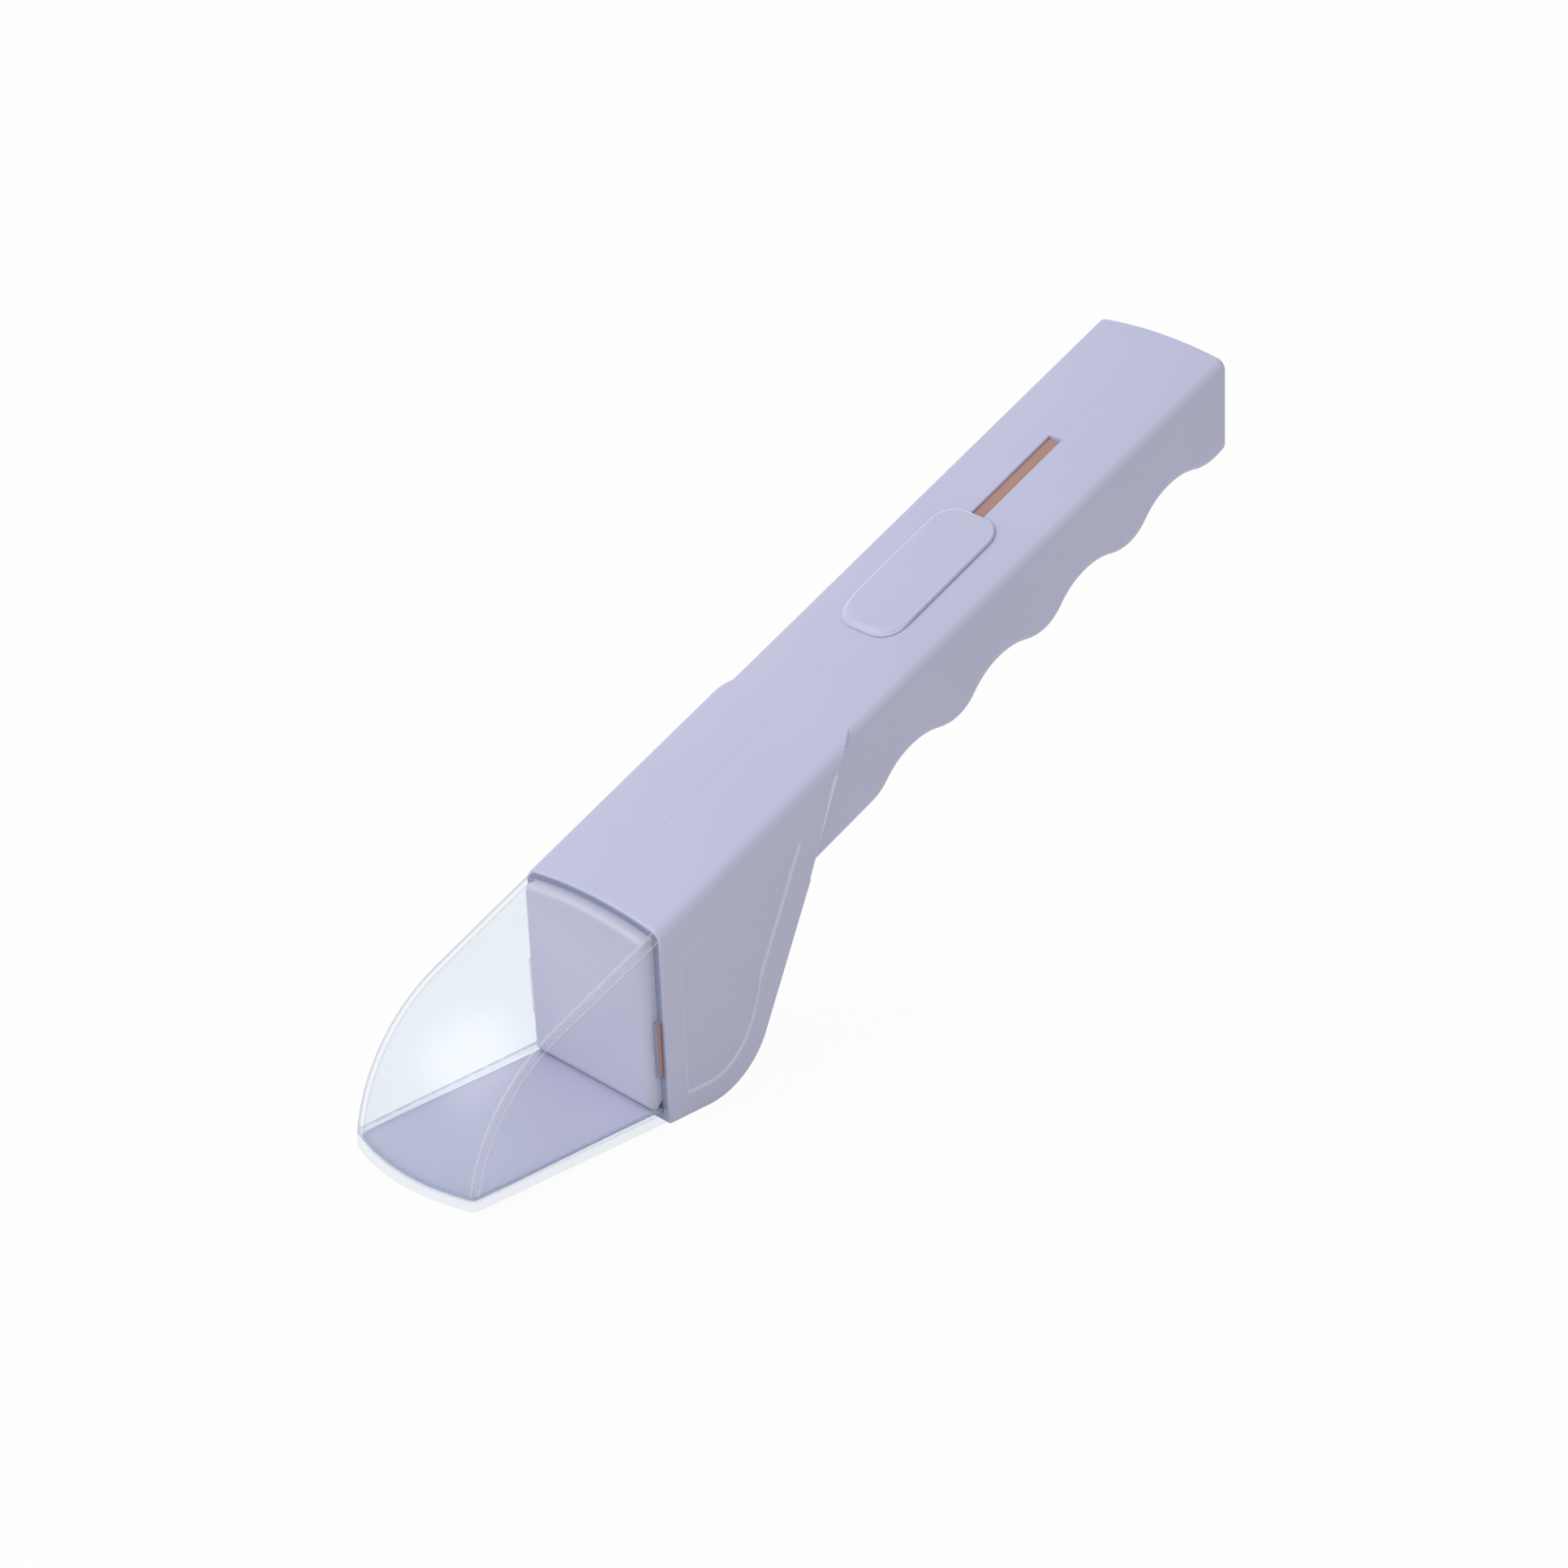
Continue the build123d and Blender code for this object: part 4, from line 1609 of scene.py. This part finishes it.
@dataclass
class Bulkhead:
    """Lavender plug that closes the front of the body, seen through the hood; its lavender is painted
    lighter and warmer to make up for the hood's shade.
    """

    layout: Layout
    gap: float = 2.05
    top_gap: float = 1.45
    proud: float = 3.0
    depth: float = 8.0
    edge: float = 1.8
    shoulder: float = 2.2
    floor: float = 3.05
    clear: float = 1.3
    clear_slope: float = 1.25
    corner: float = 0.6
    least_round: float = 0.3
    columns: int = 10
    floor_columns: int = 7
    edge_rows: int = 7
    rings: int = 5

    def loop(self, inset: float, forward: float, squeeze: float) -> Array:
        """Half of one loop parallel to the joint: crown, shoulder, side, lower corner and floor.

        Behind the front the floor rises, to leave room for the sheet when it is drawn back.

        Args:
            inset: Distance inside the plug's outline.
            forward: Distance ahead of the joint.
            squeeze: Share by which the loop is drawn to the middle.

        Returns:
            Points of shape (columns, 3).
        """
        layout = self.layout
        rise = layout.crown - self.top_gap - inset
        radius = layout.crown_radius - self.top_gap - inset
        half = layout.half_width - self.gap - inset
        shoulder = max(self.shoulder - inset, self.least_round)
        across = even(self.columns)[:-1]
        y, h = crown_curve(rise, radius, half, shoulder, across, even(BEND_STEPS))
        skew = np.tan(layout.slope - layout.lean)
        z = layout.joint_height + h[0] * (np.cos(layout.slope) + skew * np.sin(layout.slope))
        corner = max(self.corner - inset, self.least_round)
        turn = quarter(EDGE_STEPS)
        low = self.floor + inset + self.clear_slope * max(self.clear - forward, 0.0)
        side_z = np.linspace(z[-1], low + corner, self.columns)[1:-1]
        corner_y = half - corner * (1.0 - np.cos(turn))
        corner_z = low + corner * (1.0 - np.sin(turn))
        floor_y = np.linspace(corner_y[-1], 0.0, self.floor_columns)[1:]
        z = np.concatenate((z, side_z, corner_z, np.full_like(floor_y, low)))
        y = np.concatenate((y[0], np.full_like(side_z, half), corner_y, floor_y))
        x = layout.joint_foot - z * np.tan(layout.lean) - forward
        return np.stack((x, y * (1.0 - squeeze), z), axis=-1)

    def build(self, finishes: Finishes) -> None:
        """Make the plug: back, side, rounded front edge and front.

        Args:
            finishes: Materials of the catcher.
        """
        turn = quarter(self.edge_rows)
        insets = self.edge * (1.0 - np.cos(turn))
        forward = self.proud - self.edge * (1.0 - np.sin(turn))
        rim = [(*pair, 0.0) for pair in zip(insets, forward)]
        back = self.proud - self.depth
        rows = [(0.0, back, 1.0), (0.0, back, 0.5), (0.0, back, 0.0), *rim]
        rows += [(self.edge, self.proud, share) for share in even(self.rings)[1:]]
        points = np.stack([self.loop(*row) for row in rows])
        plug = make_piece("front_bulkhead", *wrapped(points))
        settle(plug, Carrier.HOUSING, Slot.BODY, finishes.plug, "front_plug")


@dataclass
class FloorSheet:
    """Sliding floor of the chamber."""

    layout: Layout
    chamber: CaptureChamber
    side_gap: float = 0.9
    half_limit: float = 16.8
    low: float = 2.15
    high: float = 2.9
    edge: float = 0.25
    edge_rows: int = 9
    back_columns: int = 8
    rings: tuple[float, ...] = (0.0, 0.33, 0.67)

    def loop(self, inset: float, z: float, squeeze: float) -> Array:
        """Half of one loop: bowed front, side and straight back at one height.

        Args:
            inset: Distance inside the sheet's outline.
            z: Height.
            squeeze: Share by which the loop is drawn to the middle.

        Returns:
            Points of shape (columns, 3).
        """
        path = self.chamber.rim_path(self.side_gap + inset)
        path[:, 1] = np.minimum(path[:, 1], self.half_limit - inset)
        back_x = self.layout.joint_foot - inset
        side = np.minimum(path[:, 0], back_x)
        back_y = np.linspace(path[-1, 1], 0.0, self.back_columns)[1:]
        x = np.append(side, np.full_like(back_y, back_x))
        y = np.append(path[:, 1], back_y) * (1.0 - squeeze)
        return np.stack((x, y, np.full_like(x, z)), axis=-1)

    def build(self, finishes: Finishes) -> None:
        """Make the sheet: underside, rounded edge and top.

        Args:
            finishes: Materials of the catcher.
        """
        turn = np.linspace(-np.pi / 2, np.pi / 2, self.edge_rows)
        middle = (self.low + self.high) / 2
        reach = (self.high - self.low) / 2
        rim = [(self.edge * (1.0 - np.cos(t)), middle + reach * np.sin(t), 0.0) for t in turn]
        rows = [(self.edge, self.low, 1.0 - share) for share in self.rings] + rim
        rows += [(self.edge, self.high, 1.0 - share) for share in self.rings[::-1]]
        points = np.stack([self.loop(*row) for row in rows])
        sheet = make_piece("floor_sheet", *wrapped(points))
        settle(sheet, Carrier.DOOR, Slot.SHEET, finishes.sheet, "door_blade")


@dataclass
class ThumbPad:
    """Oblong pad over the slot, with a soft front bevel and the neck that goes into the slot."""

    layout: Layout
    centre: float = 99.5
    length: float = 37.0
    width: float = 16.4
    corner: float = 5.5
    clearance: float = 0.14
    top: float = 2.4
    edge: float = 0.7
    front_edge: float = 1.9
    swell: float = 0.3
    # Strengths of the painted highlight on the top edge, on the near and the far side.
    shine: float = 1.0
    far_shine: float = 0.3
    neck_centre: float = 94.0
    neck_length: float = 6.0
    neck_half: float = 1.4
    neck_floor: float = 1.2
    neck_corner: float = 0.6
    neck_sunk: float = 0.3
    bevel_share: float = 0.25
    least_wall: float = 0.05
    under_rings: int = 3
    top_rings: int = 5
    edge_rows: int = 8

    def body(self) -> tuple[Array, Array]:
        """Rows of the pad: underside over the crown, upright edge, rounded top edge and swelled top.

        Returns:
            Points of shape (rows, columns, 3), and the painted highlight line on the top edge.
        """
        u, y = rounded_loop(self.length, self.width, self.corner)
        toward_front = ease((self.bevel_share - 0.5 - u / self.length) / self.bevel_share)
        edge = lerp(self.edge, self.front_edge, toward_front)
        under = self.layout.crest(y) + self.clearance
        rows = []
        for share in even(self.under_rings):
            rows.append((u, y * share, self.layout.crest(y * share) + self.clearance))
        turns = quarter(self.edge_rows)
        for turn in turns:
            pull = 2.0 * edge * (1.0 - np.cos(turn))
            rise = np.maximum(self.top - edge * (1.0 - np.sin(turn)), under + self.least_wall)
            rows.append((u * (1.0 - pull / self.length), y * (1.0 - pull / self.width), rise))
        rim_u, rim_y, rim_v = rows[-1]
        inward = even(self.top_rings)[-2::-1]
        for share in inward:
            raised = self.swell * (1.0 - share**2) * (1.0 - (2.0 * rim_u / self.length) ** 2)
            rows.append((rim_u, rim_y * share, rim_v + np.maximum(raised, 0.0)))
        # Painted highlight: a glint coloured onto the rounded top edge, fading out toward the front bevel.
        glint = self.shine * np.sin(2.0 * turns) ** 2
        light = np.concatenate((np.zeros(self.under_rings), glint, np.zeros(len(inward))))
        return self.layout.rows(rows, self.centre), np.outer(light, 1.0 - toward_front)

    def neck(self) -> Array:
        """Rows of the neck: a rounded bar from inside the slot up into the pad.

        Returns:
            Points of shape (rows, columns, 3).
        """
        u, y = rounded_loop(self.neck_length, 2.0 * self.neck_half, self.neck_corner)
        high = self.layout.crown + self.clearance + self.neck_sunk
        levels = ((0.0, self.neck_floor), (1.0, self.neck_floor), (1.0, high), (0.0, high))
        rows = [(u, y * share, np.full_like(u, level)) for share, level in levels]
        return self.layout.rows(rows, self.neck_centre)

    def build(self, finishes: Finishes) -> None:
        """Make the pad and its neck as one piece.

        Args:
            finishes: Materials of the catcher.
        """
        body, light = self.body()
        pad_points, pad_faces = wrapped(body)
        neck_points, neck_faces = wrapped(self.neck())
        points = np.concatenate((pad_points, neck_points))
        faces = np.concatenate((pad_faces, neck_faces + len(pad_points)))
        # The painted highlight is full on the side of positive Y, toward the key lamp, and weaker on the
        # other.
        mirrored = np.concatenate((light, self.far_shine * light[:, ::-1]), axis=1)
        marks = {"edge": np.append(mirrored, np.zeros(len(neck_points)))}
        pad = make_piece("thumb_pad", points, faces, marks)
        settle(pad, Carrier.SLIDER, Slot.BODY, finishes.body, "thumb_button")


@dataclass
class SlotLiner:
    """Copper strip close under the housing's top, seen through the slot behind the pad."""

    layout: Layout
    shells: HousingShells
    overlap: float = 3.0
    width: float = 9.0
    corner: float = 1.5
    gap: float = 0.1
    low: float = -0.55
    sunk: float = 0.55

    def build(self, finishes: Finishes) -> None:
        """Make the strip: flat underside, top that follows the crown, and a rib in the slot.

        Args:
            finishes: Materials of the catcher.
        """
        slot = self.shells.slot_back - self.shells.slot_front
        length = slot + 2.0 * self.overlap
        u, y = rounded_loop(length, self.width, self.corner)
        rib_u = u * (slot - 2.0 * self.gap) / length
        rib_y = y * 2.0 * (self.shells.slot_half - self.gap) / self.width
        crest = self.layout.crest
        drop = self.shells.wall + self.gap
        rows = [(u, y * share, np.full_like(u, self.low)) for share in (0.0, 0.5, 1.0)]
        rows += [(u, y, crest(y) - drop), (rib_u, rib_y, crest(rib_y) - drop)]
        rows += [(rib_u, rib_y * share, crest(rib_y * share) - self.sunk) for share in (1.0, 0.5, 0.0)]
        centre = (self.shells.slot_front + self.shells.slot_back) / 2
        strip = make_piece("slot_liner", *wrapped(self.layout.rows(rows, centre)))
        settle(strip, Carrier.HOUSING, Slot.INNER, finishes.inner, "slide_track")


@dataclass
class Works:
    """Solids that keep their own shape: the carriage and the hidden part of the sheet."""

    inner: tuple[str, ...] = ("slider_carriage",)
    sheet: tuple[str, ...] = ("strip_bend", "strip_pull")

    def dress(self, frame: dict[str, Any], finishes: Finishes) -> None:
        """Give each solid its material.

        Args:
            frame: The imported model.
            finishes: Materials of the catcher.
        """
        for names, material in ((self.inner, finishes.inner), (self.sheet, finishes.sheet)):
            for name in names:
                dress(frame["nodes"][name], material)
                log.info("%s: solid kept", name)


@dataclass(frozen=True)
class Lamp:
    """Soft square lamp, placed away from what it is aimed at."""

    name: str
    offset: Triple
    size: float
    power: float
    colour: Triple

    def build(self, aim: Vector) -> None:
        """Hang the lamp and turn it to its aim.

        Args:
            aim: Point that it is aimed at.
        """
        data = bpy.data.lights.new(self.name, "AREA")
        data.size = self.size
        data.energy = self.power
        data.color = self.colour
        lamp = bpy.data.objects.new(self.name, data)
        lamp.location = aim + Vector(self.offset)
        lamp.rotation_euler = (aim - lamp.location).to_track_quat("-Z", "Y").to_euler()
        bpy.context.scene.collection.objects.link(lamp)


@dataclass
class Studio:
    """Pale floor, white surround, soft lamps and the camera."""

    middle: Triple = (0.09, 0.0, 0.06)
    floor_level: float = -0.6
    floor_size: float = 3.0
    floor_glow: float = 0.955
    floor_colour: tuple[float, float, float, float] = (0.86, 0.85, 0.82, 1.0)
    surround: float = 0.62
    lamps: tuple[Lamp, ...] = (
        Lamp("key", (-0.75, 0.45, 0.75), 0.9, 6.6, (0.98, 0.99, 1.0)),
        Lamp("fill", (-0.5, -0.9, 0.45), 0.9, 0.9, (1.0, 0.96, 0.8)),
    )
    camera_place: Triple = (-0.46034, -0.55634, 0.44958)
    camera_forward: Triple = (0.632778, 0.629248, -0.451264)
    camera_right: Triple = (0.709455, -0.704644, 0.012259)
    lens: float = 101.22
    sensor: float = 36.0
    nearest: float = 0.01

    def seen(self, graph: Graph) -> Signal:
        """1 for rays that show the background: from the camera, off gloss and through clear plastic.

        Args:
            graph: Node tree to add it to.

        Returns:
            The share, 0 or 1.
        """
        path = graph.node("ShaderNodeLightPath", {}, {})
        kinds = ("Is Camera Ray", "Is Glossy Ray", "Is Transmission Ray")
        camera, glossy, passed = (Signal(graph, path.outputs[kind]) for kind in kinds)
        return camera.at_least(glossy).at_least(passed)

    def floor(self) -> None:
        """Lay a pale floor that shows white and keeps a faint shadow."""
        reach = self.floor_size / 2 / MM
        corners = np.array(((-reach, -reach), (reach, -reach), (reach, reach), (-reach, reach)))
        points = np.column_stack((corners, np.full(4, self.floor_level)))
        mesh = bpy.data.meshes.new("studio_floor")
        mesh.from_pydata((points * MM).tolist(), [], [(0, 1, 2, 3)])
        floor = bpy.data.objects.new("studio_floor", mesh)
        bpy.context.scene.collection.objects.link(floor)
        material, graph = new_material("pale_floor")
        matt = graph.signal("ShaderNodeBsdfDiffuse", {"Color": self.floor_colour})
        glow = graph.signal("ShaderNodeEmission", {"Color": WHITE, "Strength": 1.0})
        graph.finish("Material", graph.join(self.floor_glow * self.seen(graph), matt, glow))
        dress(floor, material)

    def world(self) -> None:
        """Light everything evenly and show white behind the object."""
        world = bpy.data.worlds.new("studio")
        world.use_nodes = True
        graph = Graph(world.node_tree)
        strength = self.surround + (1.0 - self.surround) * self.seen(graph)
        light = graph.signal("ShaderNodeBackground", {"Color": WHITE, "Strength": strength})
        graph.finish("World", light)
        bpy.context.scene.world = world

    def camera(self) -> None:
        """Put the camera where the photograph was taken from."""
        data = bpy.data.cameras.new("view")
        data.lens = self.lens
        data.sensor_width = self.sensor
        data.clip_start = self.nearest
        camera = bpy.data.objects.new("view", data)
        forward = Vector(self.camera_forward).normalized()
        up = Vector(self.camera_right).cross(forward).normalized()
        turned = Matrix((forward.cross(up), up, -forward)).transposed()
        camera.matrix_world = Matrix.Translation(self.camera_place) @ turned.to_4x4()
        bpy.context.scene.collection.objects.link(camera)
        bpy.context.scene.camera = camera

    def build(self) -> None:
        """Set the stage."""
        self.floor()
        self.world()
        for lamp in self.lamps:
            lamp.build(Vector(self.middle))
        self.camera()
        bpy.context.scene.view_settings.view_transform = "Standard"


def main() -> None:
    """Build every sub-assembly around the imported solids."""
    logging.basicConfig(level=logging.INFO, format="%(name)s: %(message)s")
    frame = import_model()
    layout = Layout.from_frame(frame)
    finishes = Finishes.make()
    shells = HousingShells(layout)
    chamber = CaptureChamber(layout)
    assemblies = (
        shells, chamber, CatchBars(layout), Bulkhead(layout), FloorSheet(layout, chamber),
        ThumbPad(layout), SlotLiner(layout, shells),
    )
    for assembly in assemblies:
        assembly.build(finishes)
    Works().dress(frame, finishes)
    Studio().build()


if __name__ == "__main__":
    main()
